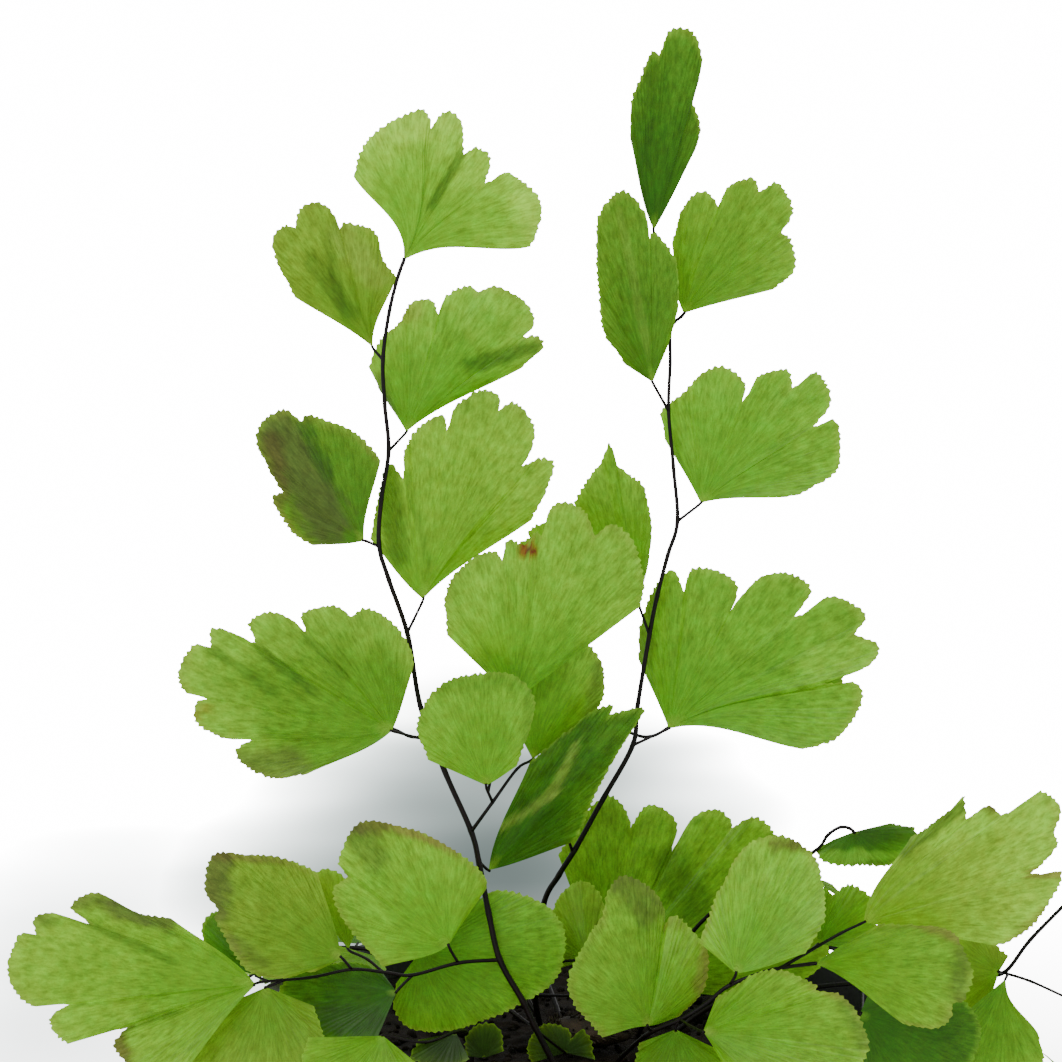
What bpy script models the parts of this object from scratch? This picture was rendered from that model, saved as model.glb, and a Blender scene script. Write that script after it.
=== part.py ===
"""Potted maidenhair fern.

Metres, +Z up, the origin at the middle of the pot's flat base; the plant faces -Y.
The fronds are laid out as they look from the front and a little above: each point is given in
millimetres as (across, up, depth). across and up are read on a plane through the layout's centre,
square to the line of sight, and depth is the point's own Y. place() turns them into a point.
"""

import math

import bmesh
import bpy
from mathutils import Vector

MM = 0.001

# Pot, millimetres.
POT_HEIGHT = 75.0
POT_BASE_RADIUS = 30.0
POT_TOP_RADIUS = 39.6
POT_WALL = 1.4
POT_RIM_RADIUS = 41.0
POT_RIM_HEIGHT = 7.0
POT_RIM_ROUND = 0.8
POT_RIM_STEP = 0.6
POT_FOOT_ROUND = 1.2
POT_SEGMENTS = 48
DRAIN_HOLES = 5
DRAIN_CIRCLE = 18.0
DRAIN_RADIUS = 1.9
DRAIN_SEGMENTS = 12

# Soil and rhizome.
SOIL_EDGE_Z = 71.0
SOIL_DOME = 0.8
SOIL_GAP = 0.35
RHIZOME_CENTRE = (1.5, -9.0)
RHIZOME_HALF = (5.5, 3.0, 2.0)
RHIZOME_KNOBS = 0.09

# Leaves and stems.
GAP = 0.35
LEAF_THICKNESS = 0.4
LEAF_ROWS = (0.5, 1.0)
STEM_SIDES = 6
STALK_SIDES = 5
STALK_RADIUS = 0.17
STALK_TIP_RADIUS = 0.14
STALK_REACH_IN = 0.9
BRANCH_RADIUS = 0.24

# Plain fan leaves of the back and low fronds: the spread in degrees, the lobes, and the reach of a
# notch and of a side edge as shares of the leaf's reach.
FAN_SPREAD = 130.0
FAN_LOBES = 3
FAN_NOTCH = 0.84
FAN_SIDE = 0.9
BACK_BELLY = 0.5

# How far a leaf's rays bow sideways at a bend of 1.
BEND_SCALE = 6.75

# The layout's line of sight: from SIGHT_DISTANCE away, SIGHT_TILT above the level.
SIGHT_TILT = math.radians(10)
SIGHT_DISTANCE = 600.0
SIGHT_TARGET = Vector((-5.6, 0.0, 136.0))
LAYOUT_CENTRE = (-5.5, 63.0)

LEAVES = (
    # name, tone, base (across, up), depths (base, first, last), belly, bends (first, last), margin
    ("tall_left_1", "bright", (-21.4, 96.9), (-11, -13, -8), -1, (0.11, 0.07), (
        (-27.7, 107.3), (-26.7, 111), (-23.3, 114), (-19.6, 115.7), (-18.4, 114.9), (-18, 113.3),
        (-17.2, 114.8), (-15.7, 115.4), (-14.2, 113.8), (-13.9, 110.1), (-12.4, 111), (-10.6, 109.8),
        (-11.2, 106.5), (-8.6, 107.9), (-5.3, 105.6), (-4.2, 102.8), (-5.3, 98.9), (-6.8, 98.3))),
    ("tall_left_2", "mid", (-25.3, 86), (-11, -14, -8.3), -1, (0.02, 0.06), (
        (-35, 92.2), (-37.3, 96.5), (-37.7, 99.6), (-36.3, 101.3), (-35, 100.9), (-34.4, 103.2),
        (-32.3, 104.1), (-30.4, 102.8), (-29.5, 100.4), (-28.6, 101.6), (-25.3, 100.6),
        (-23.9, 97), (-22.3, 94.7))),
    ("tall_left_3", "bright", (-21.1, 75.4), (-11, -8.5, -10.5), -1, (0.01, 0.03), (
        (-24.2, 80.2), (-25.8, 83.2), (-24.4, 86.6), (-22, 89), (-20.5, 91.6), (-17.9, 91.9),
        (-17.1, 90.1), (-16.4, 92.2), (-13.4, 93.6), (-12.1, 92.9), (-9.8, 93.5), (-6.5, 91.7),
        (-5.1, 89.1), (-6.8, 87.2), (-5, 87.5), (-4, 86.2), (-6.6, 83.4))),
    ("tall_left_4", "dusk", (-26.4, 61.8), (-15.8, -18, -17.2), -1, (-0.03, 0.04), (
        (-32.8, 61.2), (-35.8, 63.2), (-37.8, 66.8), (-36.5, 67.9), (-38.1, 70.3), (-39.8, 74),
        (-38.8, 76.9), (-36.3, 78.2), (-34.2, 76.7), (-33.1, 77.4), (-28.2, 75.7), (-25.5, 73.5),
        (-24.3, 71.8))),
    ("tall_left_5", "mid", (-19, 54.5), (-13.8, -11.3, -14.5), -3, (-0.03, 0.03), (
        (-25.6, 62), (-24.9, 66.5), (-23.4, 71.4), (-21.5, 69.6), (-21.3, 73.4), (-19.2, 76.2),
        (-16.6, 77.5), (-16, 75.6), (-15.2, 78.4), (-12, 80.7), (-9.6, 80), (-9.7, 77.9),
        (-7.6, 79.2), (-5.2, 76.4), (-5.3, 73.5), (-6.9, 71), (-4.6, 72.2), (-2.6, 71.4),
        (-3.6, 68), (-5.4, 64.4))),
    ("tall_left_6", "mid", (-22.9, 38), (-17.6, -20, -19.5), -1, (-0.04, -0.02), (
        (-33.5, 32.6), (-37.5, 31.9), (-41.5, 33.8), (-42.4, 35.5), (-40.5, 36.9), (-43.7, 36.9),
        (-47.2, 39), (-47.3, 41.5), (-46, 42), (-48.5, 42.8), (-49.6, 45.2), (-47.8, 48.7),
        (-45.6, 48.3), (-45.5, 50.7), (-43, 50.4), (-39.7, 48.6), (-40.9, 51.6),
        (-38, 53), (-35.2, 51.6), (-33.6, 50), (-34.2, 52.7), (-30.3, 53.7), (-28, 52.3),
        (-26, 53.4), (-22.6, 51.3), (-20.2, 47.6), (-20.6, 44.6))),
    ("centre_1", "bright", (-7.5, 41.8), (-17.2, -19, -12), -1, (0, 0), (
        (-16, 50), (-16.3, 55), (-14, 58.7), (-10.4, 60.5), (-9.1, 59.4), (-8.4, 61.8),
        (-6.3, 61.2), (-4.9, 62.9), (-4.2, 62.3), (-3.5, 65.3), (-1.4, 66.6), (1.4, 65.3),
        (2.5, 62.4), (4.6, 63.8), (7.1, 62), (8.5, 57.5), (8.2, 53.6))),
    ("centre_2", "bright", (-11.1, 31.2), (-21, -25, -22), -2, (0, -0.02), (
        (-18.4, 34.4), (-19.8, 38.8), (-17.4, 43.2), (-12.5, 45.2), (-7.6, 44.9), (-5.1, 41.8),
        (-6.2, 36.8), (-7.3, 33.6))),
    ("centre_3", "mid", (-5.3, 34.5), (-15.2, -13.5, -13), 0, (0, 0), (
        (-11.2, 45.6), (-9.4, 48.5), (-3.5, 50), (0.9, 49.2), (3.5, 46.2), (3.6, 42.6), (2.2, 39.8))),
    ("centre_4", "dark", (-10.8, 20.6), (-15.5, -18.4, -12), -1.5, (-0.04, -0.02), (
        (-5.6, 34.2), (-1.3, 37.7), (2, 40.4), (4.7, 41.4), (4.4, 40.1), (8.7, 40.8), (6.5, 37.3),
        (3.4, 32), (0.3, 24.9), (-2.2, 23.8))),
    ("tall_right_1", "dark", (9.85, 100.6), (-4, -7, -1), 2, (-0.03, -0.01), (
        (6.9, 112), (6.8, 116), (8.3, 120.2), (9.6, 123), (10.5, 122.5), (11.8, 125.5), (14.6, 125.5),
        (15.9, 122.6), (15.1, 119), (14.6, 116.9), (15.6, 113.4), (14.7, 110))),
    ("tall_right_2", "dusk", (9.7, 81.6), (-6.5, -9.5, -7.5), -1, (0, 0), (
        (6.3, 83.8), (4.1, 86.8), (3.1, 90.5), (2.6, 98), (3.2, 102.8), (5.8, 105.6), (8.6, 103.2),
        (9, 98.8), (10, 100.3), (12.4, 97), (13, 93), (12.2, 88.6), (11, 84.8))),
    ("tall_right_3", "mid", (13.6, 90.2), (-4.2, -3.8, -8), -1, (-0.05, 0.01), (
        (12.1, 99), (13.8, 104), (16.2, 105.4), (17.9, 103.6), (19.3, 106.2), (22.2, 107.1),
        (23, 105.4), (25.3, 106.5), (27.2, 103), (25.8, 100.3), (27.2, 99.4), (27.4, 95.8),
        (24.8, 93.2))),
    ("tall_right_4", "bright", (15.7, 66.5), (-5.8, -2.5, -9), -0.5, (0.01, 0.03), (
        (11.2, 74.5), (10.8, 78), (13.4, 80.2), (16, 82.7), (18.8, 83.5), (21.3, 81.6), (20.9, 79.2),
        (22.8, 82.2), (26.4, 83.2), (27.2, 80.9), (30.2, 83), (31.9, 79.3), (29.8, 76.1),
        (32.6, 76.5), (33, 71), (29.5, 68.4), (26, 67.2))),
    ("tall_right_5", "dark", (7.9, 53.9), (-7.5, -6, -7), 1, (0, 0), (
        (-0.2, 63.5), (0.2, 67.2), (2.4, 70.5), (3.2, 71.4), (4.3, 73.9), (5, 71.3), (6.8, 70),
        (8.7, 68.4), (9.5, 63.5), (9, 58))),
    ("tall_right_6", "bright", (11.7, 38.3), (-7, -3.5, -11), -1, (0.01, 0.06), (
        (7.9, 47), (8.1, 51.6), (10.2, 56.5), (12.3, 58.2), (13.6, 55.4), (14.4, 58.2), (17.4, 58.3),
        (20.2, 56.3), (19.5, 53.1), (22, 56.5), (26, 57.9), (29.5, 55.9), (27.5, 52.3),
        (32, 54.8), (36.2, 52.6), (35, 50.1), (38, 48.8), (36.6, 46.2), (30, 43.9), (34.8, 44.1),
        (35.9, 41.6), (33, 37.3), (28.5, 35.7))),
    ("tall_right_7", "dark", (-1.1, 25.4), (-7.6, -8.4, -8), 0, (0, 0), (
        (-5, 30), (-4, 33.4), (-1.2, 35.6), (1.3, 35), (2.2, 31.5))),
    ("low_left_1", "bright", (-39.9, 6.3), (-26.2, -31, -26.5), -2, (0.02, -0.04), (
        (-49.5, -5.5), (-54, -4.8), (-57.6, -1.6), (-56, 0.9), (-61.8, -0.8), (-64.4, -0.4),
        (-65.7, 2), (-63.3, 3.8), (-68.2, 3.6), (-70.9, 7.6), (-69.6, 12.4), (-67.4, 12.2),
        (-67.7, 14.6), (-65.2, 15.2), (-60.8, 13.9), (-63, 16.1), (-60, 17.8), (-56.5, 16),
        (-53.5, 15), (-50.5, 14.6))),
    ("low_left_2", "olive", (-29.2, 9.7), (-24.5, -27.2, -22), -1, (-0.03, -0.02), (
        (-32.5, 7.9), (-37, 6.9), (-41, 8), (-43.3, 11.4), (-45, 14.3), (-44.6, 15.6),
        (-46.2, 18.3), (-45.2, 22.6), (-41, 22.7), (-36.5, 22.1), (-32.2, 20.3))),
    ("low_left_3", "bright", (-15.8, 11.2), (-20.6, -23, -20), -1, (-0.05, 0.01), (
        (-24, 8.5), (-28.8, 14), (-30.3, 18), (-28.4, 19.8), (-29.7, 21.6), (-27.5, 26.3),
        (-23.5, 26.5), (-18.5, 24.9), (-14, 22.5), (-11.3, 20), (-11, 18.4))),
    ("low_left_4", "dark", (-22.3, 5.4), (-22.2, -24.5, -20), 0, (0, 0), (
        (-24.8, -0.6), (-29, -1.6), (-33, -0.5), (-35.9, 2.2), (-37, 5.6), (-33.5, 8.4), (-28, 9),
        (-24.2, 8))),
    ("low_left_5", "mid", (-19.4, 10.4), (-17.5, -19.5, -15.5), 0.9, (0, 0), (
        (-22.4, 6.4), (-22.7, 3.5), (-21, 1), (-17.5, 0.2), (-13, 1.3), (-8, 3.2), (-4.2, 5.2),
        (-1.9, 7.8), (-1.3, 11), (-1.7, 14), (-3.5, 16.2), (-7, 17.6), (-10, 18), (-13, 16.5))),
    ("low_left_6", "olive", (1.6, 9.4), (-12.6, -10, -9), 0, (0, 0), (
        (-2.4, 8.2), (-3.2, 11.5), (-2.8, 15.5), (-1.4, 18.2), (1, 19.4), (3, 18), (4, 14.5))),
    ("low_left_7", "olive", (-28.3, 10.7), (-19.4, -17.8, -18.2), 0, (0, 0), (
        (-33, 16.5), (-32.3, 20.2), (-29.6, 20.4), (-26, 16.5))),
    ("low_left_8", "dark", (-39.6, 7.4), (-22.8, -21.5, -19.5), 0, (0, 0), (
        (-43.6, 8.6), (-46.4, 11.6), (-46.6, 14), (-45, 15.4), (-42, 14.6), (-39.8, 12))),
    ("low_front_1", "olive", (-38.6, 6), (-25, -30.5, -24.5), 0, (0, 0), (
        (-32.6, 3.6), (-31.4, -2), (-35.5, -7.5), (-41.5, -8.5), (-47.5, -6.5), (-49.3, -3.5), (-45.5, 3))),
    ("low_front_2", "bright", (-24, -0.1), (-35, -39, -41), -1, (0, 0), (
        (-19.8, -3.5), (-21, -8.5), (-26, -10.8), (-31.5, -9.5), (-34.2, -5), (-33.4, -0.3))),
    ("low_front_3", "dark", (-14.9, 0.3), (-23.6, -25.6, -26), 0, (0, 0), (
        (-13.2, -3), (-15, -3.9), (-18, -3.9), (-20.6, -2.8), (-19.6, -0.6))),
    ("low_front_4", "dark", (-11.4, -2.9), (-21.5, -22, -22), 0, (0, 0), (
        (-13.6, -2.6), (-13.7, -0.6), (-12.6, 0.9), (-10.8, 1.4), (-9.3, 0.4), (-8.9, -2))),
    ("low_front_5", "dark", (-1.2, -2.2), (-16.2, -16, -16.4), 0, (0, 0), (
        (-5.4, -3.5), (-6, -1.6), (-5.3, 0.2), (-4.2, 1.3), (-2.6, 1.4), (-0.6, 0.5), (-0.7, -0.6),
        (0.7, 0.8), (2.1, -0.6), (2.5, -3.1))),
    ("low_right_1", "mid", (4, 6.3), (-5.2, -2.5, -3), 0, (0, 0), (
        (-2.1, 22.5), (1.2, 27.6), (4.2, 29.9), (6.6, 28), (6.6, 25.5), (9, 28.7), (12.6, 26.8),
        (11.8, 22.4), (14.4, 27), (17.7, 28.2), (19.6, 26.8), (19.6, 25.9), (22.4, 27.4),
        (25, 25), (27, 19), (31, 14), (31.6, 10), (28, 6.6), (21, 4.6))),
    ("low_right_2", "bright", (9.1, 1.1), (-27, -29, -25), 4, (0.04, -0.03), (
        (3.4, -0.3), (-0.2, 4), (-0.9, 7.4), (1.5, 12.3), (3.3, 14.6), (4, 17.8), (6, 20), (9.4, 18.6),
        (11, 15.8), (10.8, 13.2), (12.4, 14.9), (14.6, 13.2), (16.8, 10.2), (16, 5.6), (13, 2.3))),
    ("low_right_3", "bright", (20.1, 7.7), (-29.5, -26, -31), 3, (0, -0.03), (
        (15.6, 11.5), (17.5, 17), (21, 23.3), (25.3, 24.9), (29.5, 22.8), (31, 19), (31.2, 14.6),
        (28.8, 10.2))),
    ("low_right_4", "olive", (30, 8.9), (-28.5, -33, -30), -1, (-0.02, 0.04), (
        (38, 13.9), (43, 13.8), (46.9, 13.1), (48.4, 11), (49.8, 7.6), (48.9, 4.6), (47.2, 3.9),
        (46.9, 2), (45, 0.8), (41, 1.4))),
    ("low_right_5", "pale", (36.1, 14.1), (-26.4, -24, -25), 0, (-0.07, 0), (
        (42, 24.8), (46.5, 27.8), (48.6, 30.1), (48.9, 27), (51.6, 28.7), (53.3, 27.5),
        (56, 29.3), (58.2, 30.5), (60.8, 28.4), (59.9, 25.3), (60.4, 23.5), (57, 20.2),
        (60.8, 20.3), (58.4, 15.2), (54, 11.6), (50.5, 11.8))),
    ("low_right_6", "bright", (16, 0.4), (-36, -38, -42), -2, (0, 0.02), (
        (17.6, 4.6), (21.5, 7.3), (25.5, 8.1), (29.9, 6.5), (30.1, 5.6), (33.5, 5), (36.4, 0.6),
        (36.2, -3.2), (31, -7.4), (25, -8.2), (19.5, -5.6))),
    ("low_right_7", "mid", (12.6, 0.7), (-27.8, -29, -28.5), 0, (0, 0), (
        (17.4, -1.6), (18.6, -4), (15, -5), (11, -5.2), (7.8, -4), (8, -1))),
    ("low_right_8", "mid", (30.4, 11.4), (-23.6, -22, -21.4), 0, (0, 0), (
        (29.5, 17.4), (31.1, 18.4), (32.2, 17.5), (34.3, 18.9), (36.6, 17.6), (38, 15.2), (37, 12.4),
        (34, 10.8))),
    ("curled", "dark", (34.8, 25.4), (-19.6, -17.5, -18), -2, (0, 0), (
        (39.4, 26.5), (42.4, 25.8), (41.8, 23), (39.4, 21.1), (35.6, 21.1), (31.5, 21.6), (30.4, 22.9),
        (32.2, 24.4))),
    ("far_right_1", "mid", (53, 7.9), (-18, -17, -18), 0, (0, 0), (
        (51, 1.5), (46.5, 1.8), (44.3, 5.5), (44.8, 10), (47, 12.9), (51.5, 11.7), (54.2, 9.9))),
    ("far_right_2", "mid", (53.8, 7), (-19.6, -20.5, -20.5), 0, (0.1, 0), (
        (57.9, 0.2), (58.6, -3.5), (55, -7.8), (50, -7), (47.6, -2.5), (49, 3))),
    ("far_right_3", "dark", (35.6, 2.6), (-23.4, -24.4, -24), 0, (0, 0), (
        (37.6, 7.4), (43.5, 7), (49, 4), (50.8, 0.4), (49, -4.5), (44, -7.5), (38, -7), (35.4, -5))),
    ("far_right_4", "bright", (62.9, 18.1), (-19, -18, -21), 0, (0, 0), (
        (62, 24), (65.8, 27.4), (68.4, 26.6), (68.7, 25), (71, 24.2), (71.6, 20.5), (68.5, 17))),
    ("far_right_5", "mid", (61.6, 4.7), (-20, -19, -22), 0, (0, 0), (
        (62.4, 8.3), (66.4, 9.7), (67.6, 8.2), (70.4, 6.6), (70.4, 2.4), (66, 0), (62.6, 1.4))),
)

STEMS = (
    # name, root (x, y), radii (foot, tip), path of (across, up, depth), side branches of the same
    ("stem_left", (-2.2, -19.6), (0.4, 0.22), (
        (-5, 1, -19), (-6.5, 4.2, -18.6), (-9.4, 9.4, -18), (-10.8, 15.3, -17.5), (-12, 21.5, -17),
        (-13, 25.5, -17), (-16.3, 33, -16.5), (-19.3, 41, -16), (-20.9, 50, -15.6), (-23.3, 57, -15.5),
        (-24.5, 61.3, -15.5), (-24.2, 67, -15), (-23.3, 73, -14.5), (-23.8, 79, -13.7), (-24, 84.5, -13),
        (-23.2, 90.5, -12.3), (-22, 95.2, -11.5), (-21.5, 96.5, -11.1)), (
        ((-24, 84.4, -13), (-25.15, 85.7, -11.4)),
        ((-23.3, 73, -14.5), (-21.3, 75.1, -11.4)),
        ((-24.4, 61, -15.5), (-26, 61.7, -15.8)),
        ((-21, 50.2, -15.6), (-19.1, 54.1, -14.1)),
        ((-17.9, 36.9, -16.3), (-19.8, 37.2, -16.8), (-22.5, 37.9, -17.5)),
        ((-12.1, 21.8, -17), (-11.1, 20.8, -15.9)),
        ((-13, 25.4, -17), (-10.3, 29.1, -19.2), (-7.3, 33.2, -17.5), (-5.7, 34.2, -15.8)),
        ((-10.3, 29.1, -19.2), (-11.05, 30.8, -20.6)),
        ((-10.9, 30.3, -20.1), (-10, 34, -19), (-7.7, 41.3, -17.6)),
        ((-9.4, 9.4, -18), (-14.6, 9, -20), (-20.3, 7.5, -22), (-23.5, 7.8, -23), (-27.9, 8.2, -24),
         (-33, 7.2, -25), (-39.4, 6.6, -25.8)),
        ((-14.6, 9, -20), (-15.6, 10.7, -20.5)),
        ((-27.9, 8.2, -24), (-28.9, 9.4, -24.4)),
        ((-20.3, 7.5, -22), (-22, 5.8, -22.1)),
        ((-24, 7.85, -23.1), (-26, 9.5, -21), (-28, 10.4, -19.8)),
        ((-38.4, 6.7, -25.6), (-39.9, 7.4, -23.3)),
        ((-36.2, 6.95, -25.4), (-37.7, 6.3, -25.3)),
        ((-4.6, 0.4, -19.1), (-1.6, -1.95, -16.7)))),
    ("stem_front_left", (-13, -19.2), (0.35, 0.22), (
        (-12.9, -1.6, -18.6), (-12.8, 0, -17.5), (-11.6, 3.2, -16.2), (-12.4, 6.5, -15.4),
        (-16, 9.2, -15.8), (-18.9, 10.3, -17)), (
        ((-12.85, -0.8, -18.1), (-13.6, 0.4, -22), (-15, 0.4, -27.5), (-18.8, -0.9, -33.5),
         (-23.6, 0, -34.8)),
        ((-13.9, 0.45, -23.4), (-14.6, 0.35, -23.5)),
        ((-12.9, -1.5, -18.5), (-12.3, -2.2, -20), (-11.6, -2.75, -21.2)))),
    ("stem_right", (-4.4, 0), (0.4, 0.2), (
        (-5, 6, -1.5), (-4, 16, -3.8), (-2, 20, -4.8), (0, 23.2, -5.6), (3.5, 29.5, -6.4), (7.2, 36.2, -7),
        (7.8, 41, -7), (9.3, 50, -7), (10.3, 55, -7), (11.6, 60, -6.4), (12.8, 64.2, -6), (12.3, 71, -5.4),
        (11.7, 78, -5), (11.9, 84, -4.5), (12, 88.3, -4), (13.4, 89.9, -4.1)), (
        ((12, 88.2, -4), (11, 94, -3.6), (9.9, 100.1, -3.9)),
        ((11.7, 78, -5), (9.9, 81.2, -6.3)),
        ((12.8, 64.2, -6), (15.4, 66.2, -5.8)),
        ((9.3, 50, -7), (8.1, 53.4, -7.4)),
        ((7.2, 36.2, -7), (11.3, 38.1, -7)),
        ((-0.3, 22.9, -5.5), (-1, 24.9, -7.3)),
        ((-4.8, 7, -1.8), (-3.6, 8.7, -9), (-1.6, 9.2, -12.4), (1.2, 9.4, -12.9)),
        ((-4.9, 5, -1.4), (0, 5, -4), (3.6, 6, -5.1)))),
    ("stem_right_low", (4, -18.3), (0.3, 0.22), (
        (8.8, -0.1, -25.6), (13.2, 1.9, -28), (16.5, 4, -28.6), (19.3, 6.2, -29), (24.5, 8.1, -29),
        (29.5, 8.9, -28.5)), (
        ((9.7, 0.35, -26), (9.25, 0.8, -26.7)),
        ((19.3, 6.2, -29), (20, 7.3, -29.4)),
        ((13.2, 1.9, -28), (14.3, 1.2, -32), (15.7, 0.5, -35.5)),
        ((12.9, 1.7, -27.9), (12.6, 1.1, -27.8)),
        ((25.5, 8.25, -29), (28.8, 10.2, -28), (33, 12.6, -27.2), (35.7, 13.9, -26.6)),
        ((29.2, 10.4, -27.9), (30.2, 11.2, -24.1)))),
    ("stem_curled", (8, -3), (0.3, 0.2), (
        (14, 12, -12), (22, 19, -16), (29.7, 22.8, -19), (31.6, 25, -19.5), (33.2, 26, -19.6),
        (34.4, 25.8, -19.7)), ()),
    ("stem_far_right", (10, -10), (0.35, 0.22), (
        (18, 4, -12), (30, 6, -15), (42, 7, -15.5), (50, 7.6, -15.5), (53.6, 7.8, -16.5), (57, 12, -17.5),
        (62.6, 17.7, -18.8)), (
        ((53.6, 7.8, -16.5), (57, 6.7, -18), (61.2, 4.8, -19.7)),
        ((53.5, 7.8, -16.4), (53.15, 7.85, -17.5)),
        ((54.1, 7.6, -16.8), (53.9, 7.2, -19.1)),
        ((36, 6.5, -15.3), (35.9, 3.2, -22.9)))),
)

# The tall back frond stands behind the front ones: its stem, and its leaves as
# (across, up, depth, heading in degrees, reach).
BACK_LEAN = 1.5
BACK_STEM = (
    "frond_back", (0.5, 6), (0.38, 0.22), (
        (0.5, 10, 8), (0.2, 22, 11), (-0.5, 34, 13), (-1.5, 46, 15), (-2.6, 57.6, 18), (-2.8, 59, 18.2)), (
        ((-1.5, 46, 15), (-3.5, 49, 15.6), (-6, 50.8, 16)),
        ((-1.6, 47, 15.2), (0, 50, 16.4), (2, 52, 17)),
        ((-0.9, 38.5, 13.8), (-4.6, 40.2, 14)),
        ((0, 26, 11.6), (0.9, 28.6, 12)),
        ((0.3, 15, 9.2), (3.6, 17.4, 10)),
        ((-1, 39, 13.9), (5, 38.4, 14), (9.4, 37.3, 14), (14, 40, 15), (22, 44, 17), (28.8, 46.5, 18)),
        ((14, 40, 15), (15.1, 42.3, 15)),
        ((20, 43, 16.5), (21.2, 45.3, 17)),
        ((20, 43, 16.5), (23.7, 42.6, 17)),
        ((-1.3, 42, 14.4), (-10, 40.5, 14.5), (-19, 37.3, 15), (-22.8, 38.3, 15), (-30, 41, 17),
         (-38.2, 43.4, 18)),
        ((-25, 39.1, 15.6), (-26, 40.8, 16)),
        ((-29.5, 40.8, 16.9), (-31.4, 42.4, 17)),
        ((-29.5, 40.8, 16.9), (-32.6, 40, 17))))
BACK_LEAVES = (
    (-2.7, 58.2, 18.1, 90, 6), (-5.5, 50.5, 16, 150, 8.5), (1.6, 51.6, 17, 112, 7), (-4, 40, 14, 165, 9),
    (0.6, 28.1, 12, 130, 5.5), (3.1, 17.1, 10, 30, 10), (15, 41.8, 15, 65, 9.5), (21, 44.8, 17, 70, 8.5),
    (23.1, 42.7, 17, -12, 6), (28.2, 46.3, 18, 25, 6.5), (-25.8, 40.3, 16, 125, 9),
    (-31.1, 42.1, 17, 130, 9), (-32, 40.1, 17, 215, 5.5), (-37.6, 43.2, 18, 165, 7))

# Arching fronds at the back and sides: name, azimuth in degrees, height, reach, and the reach of the
# first and the last leaf.
LOW_FRONDS = (
    ("frond_low_right", 16, 11, 58, 8, 11.5), ("frond_low_back_right", 60, 9, 56, 8, 12),
    ("frond_low_back_left", 105, 8, 58, 8, 12), ("frond_low_left", 150, 9, 56, 8, 12),
    ("frond_mid_right", 32, 20, 44, 7, 9.5), ("frond_mid_left", 132, 16, 50, 7, 9.5))
LOW_FOOT = 6.0
LOW_START = 1.0
LOW_ARCH = 1.1
LOW_ARCH_SPAN = 0.62
LOW_DROOP = 14.0
LOW_STALK = 2.4
LOW_RADII = (0.32, 0.2)
LOW_LEAF_SLANT = 0.45
LOW_SHARES = (0, 0.15, 0.3, 0.42, 0.54, 0.66, 0.78, 0.89, 1.0)
LOW_LEAVES = (3, 4, 5, 6, 7, 8)


def sight_frame():
    """The eye, and the layout plane's across and up directions."""
    forward = Vector((0, math.cos(SIGHT_TILT), -math.sin(SIGHT_TILT)))
    up = Vector((0, math.sin(SIGHT_TILT), math.cos(SIGHT_TILT)))
    return SIGHT_TARGET - forward * SIGHT_DISTANCE, Vector((1, 0, 0)), up


EYE, ACROSS, UP = sight_frame()


def place(across, up, depth):
    """The point whose Y is depth and that is seen at (across, up)."""
    seen = SIGHT_TARGET + ACROSS * (across - LAYOUT_CENTRE[0]) + UP * (up - LAYOUT_CENTRE[1])
    share = (depth - EYE.y) / (seen.y - EYE.y)
    return EYE + (seen - EYE) * share


def soil_height(x, y):
    """Height of the soil's domed surface."""
    reach = (x * x + y * y) / POT_TOP_RADIUS**2
    return SOIL_EDGE_Z + SOIL_DOME * (1 - reach)


def material(name, colour, roughness, metallic=0.0):
    made = bpy.data.materials.new(name)
    made.use_nodes = True
    shader = made.node_tree.nodes["Principled BSDF"]
    shader.inputs["Base Color"].default_value = (*colour, 1)
    shader.inputs["Roughness"].default_value = roughness
    shader.inputs["Metallic"].default_value = metallic
    made.diffuse_color = (*colour, 1)
    return made


def add_object(name, mesh, look, smooth=True):
    """A named object with its faces out, its mesh given in millimetres as a bmesh."""
    bmesh.ops.recalc_face_normals(mesh, faces=mesh.faces)
    bmesh.ops.scale(mesh, vec=(MM, MM, MM), verts=mesh.verts)
    data = bpy.data.meshes.new(name)
    mesh.to_mesh(data)
    mesh.free()
    for face in data.polygons:
        face.use_smooth = smooth
    data.materials.append(look)
    made = bpy.data.objects.new(name, data)
    bpy.context.scene.collection.objects.link(made)
    return made


def revolve(mesh, profile, segments):
    """Turns a closed (radius, z) profile about Z; a radius of 0 is one point on the axis."""
    rings = []
    for radius, z in profile:
        if radius == 0:
            rings.append([mesh.verts.new((0, 0, z))] * segments)
            continue
        turns = (2 * math.pi * k / segments for k in range(segments))
        rings.append([mesh.verts.new((radius * math.cos(a), radius * math.sin(a), z)) for a in turns])
    for lower, upper in zip(rings, rings[1:] + rings[:1]):
        for k in range(segments):
            n = (k + 1) % segments
            corners = [lower[k], lower[n], upper[n], upper[k]]
            corners = [c for i, c in enumerate(corners) if c is not corners[i - 1]]
            if len(corners) > 2:
                mesh.faces.new(corners)


def wall_radius(z):
    """The pot's outer radius at height z."""
    return POT_BASE_RADIUS + (POT_TOP_RADIUS - POT_BASE_RADIUS) * z / POT_HEIGHT


def cut_away(body, cutter):
    """Cuts cutter out of body and removes cutter."""
    joined(body, cutter, "DIFFERENCE")


def joined(body, other, operation="UNION"):
    """Runs an exact Boolean of body with other, keeps its result in body and removes other."""
    step = body.modifiers.new("step", "BOOLEAN")
    step.operation = operation
    step.solver = "EXACT"
    step.object = other
    shown = body.evaluated_get(bpy.context.evaluated_depsgraph_get())
    result = bpy.data.meshes.new_from_object(shown)
    body.modifiers.remove(step)
    body.data = result
    bpy.data.objects.remove(other)


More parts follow.
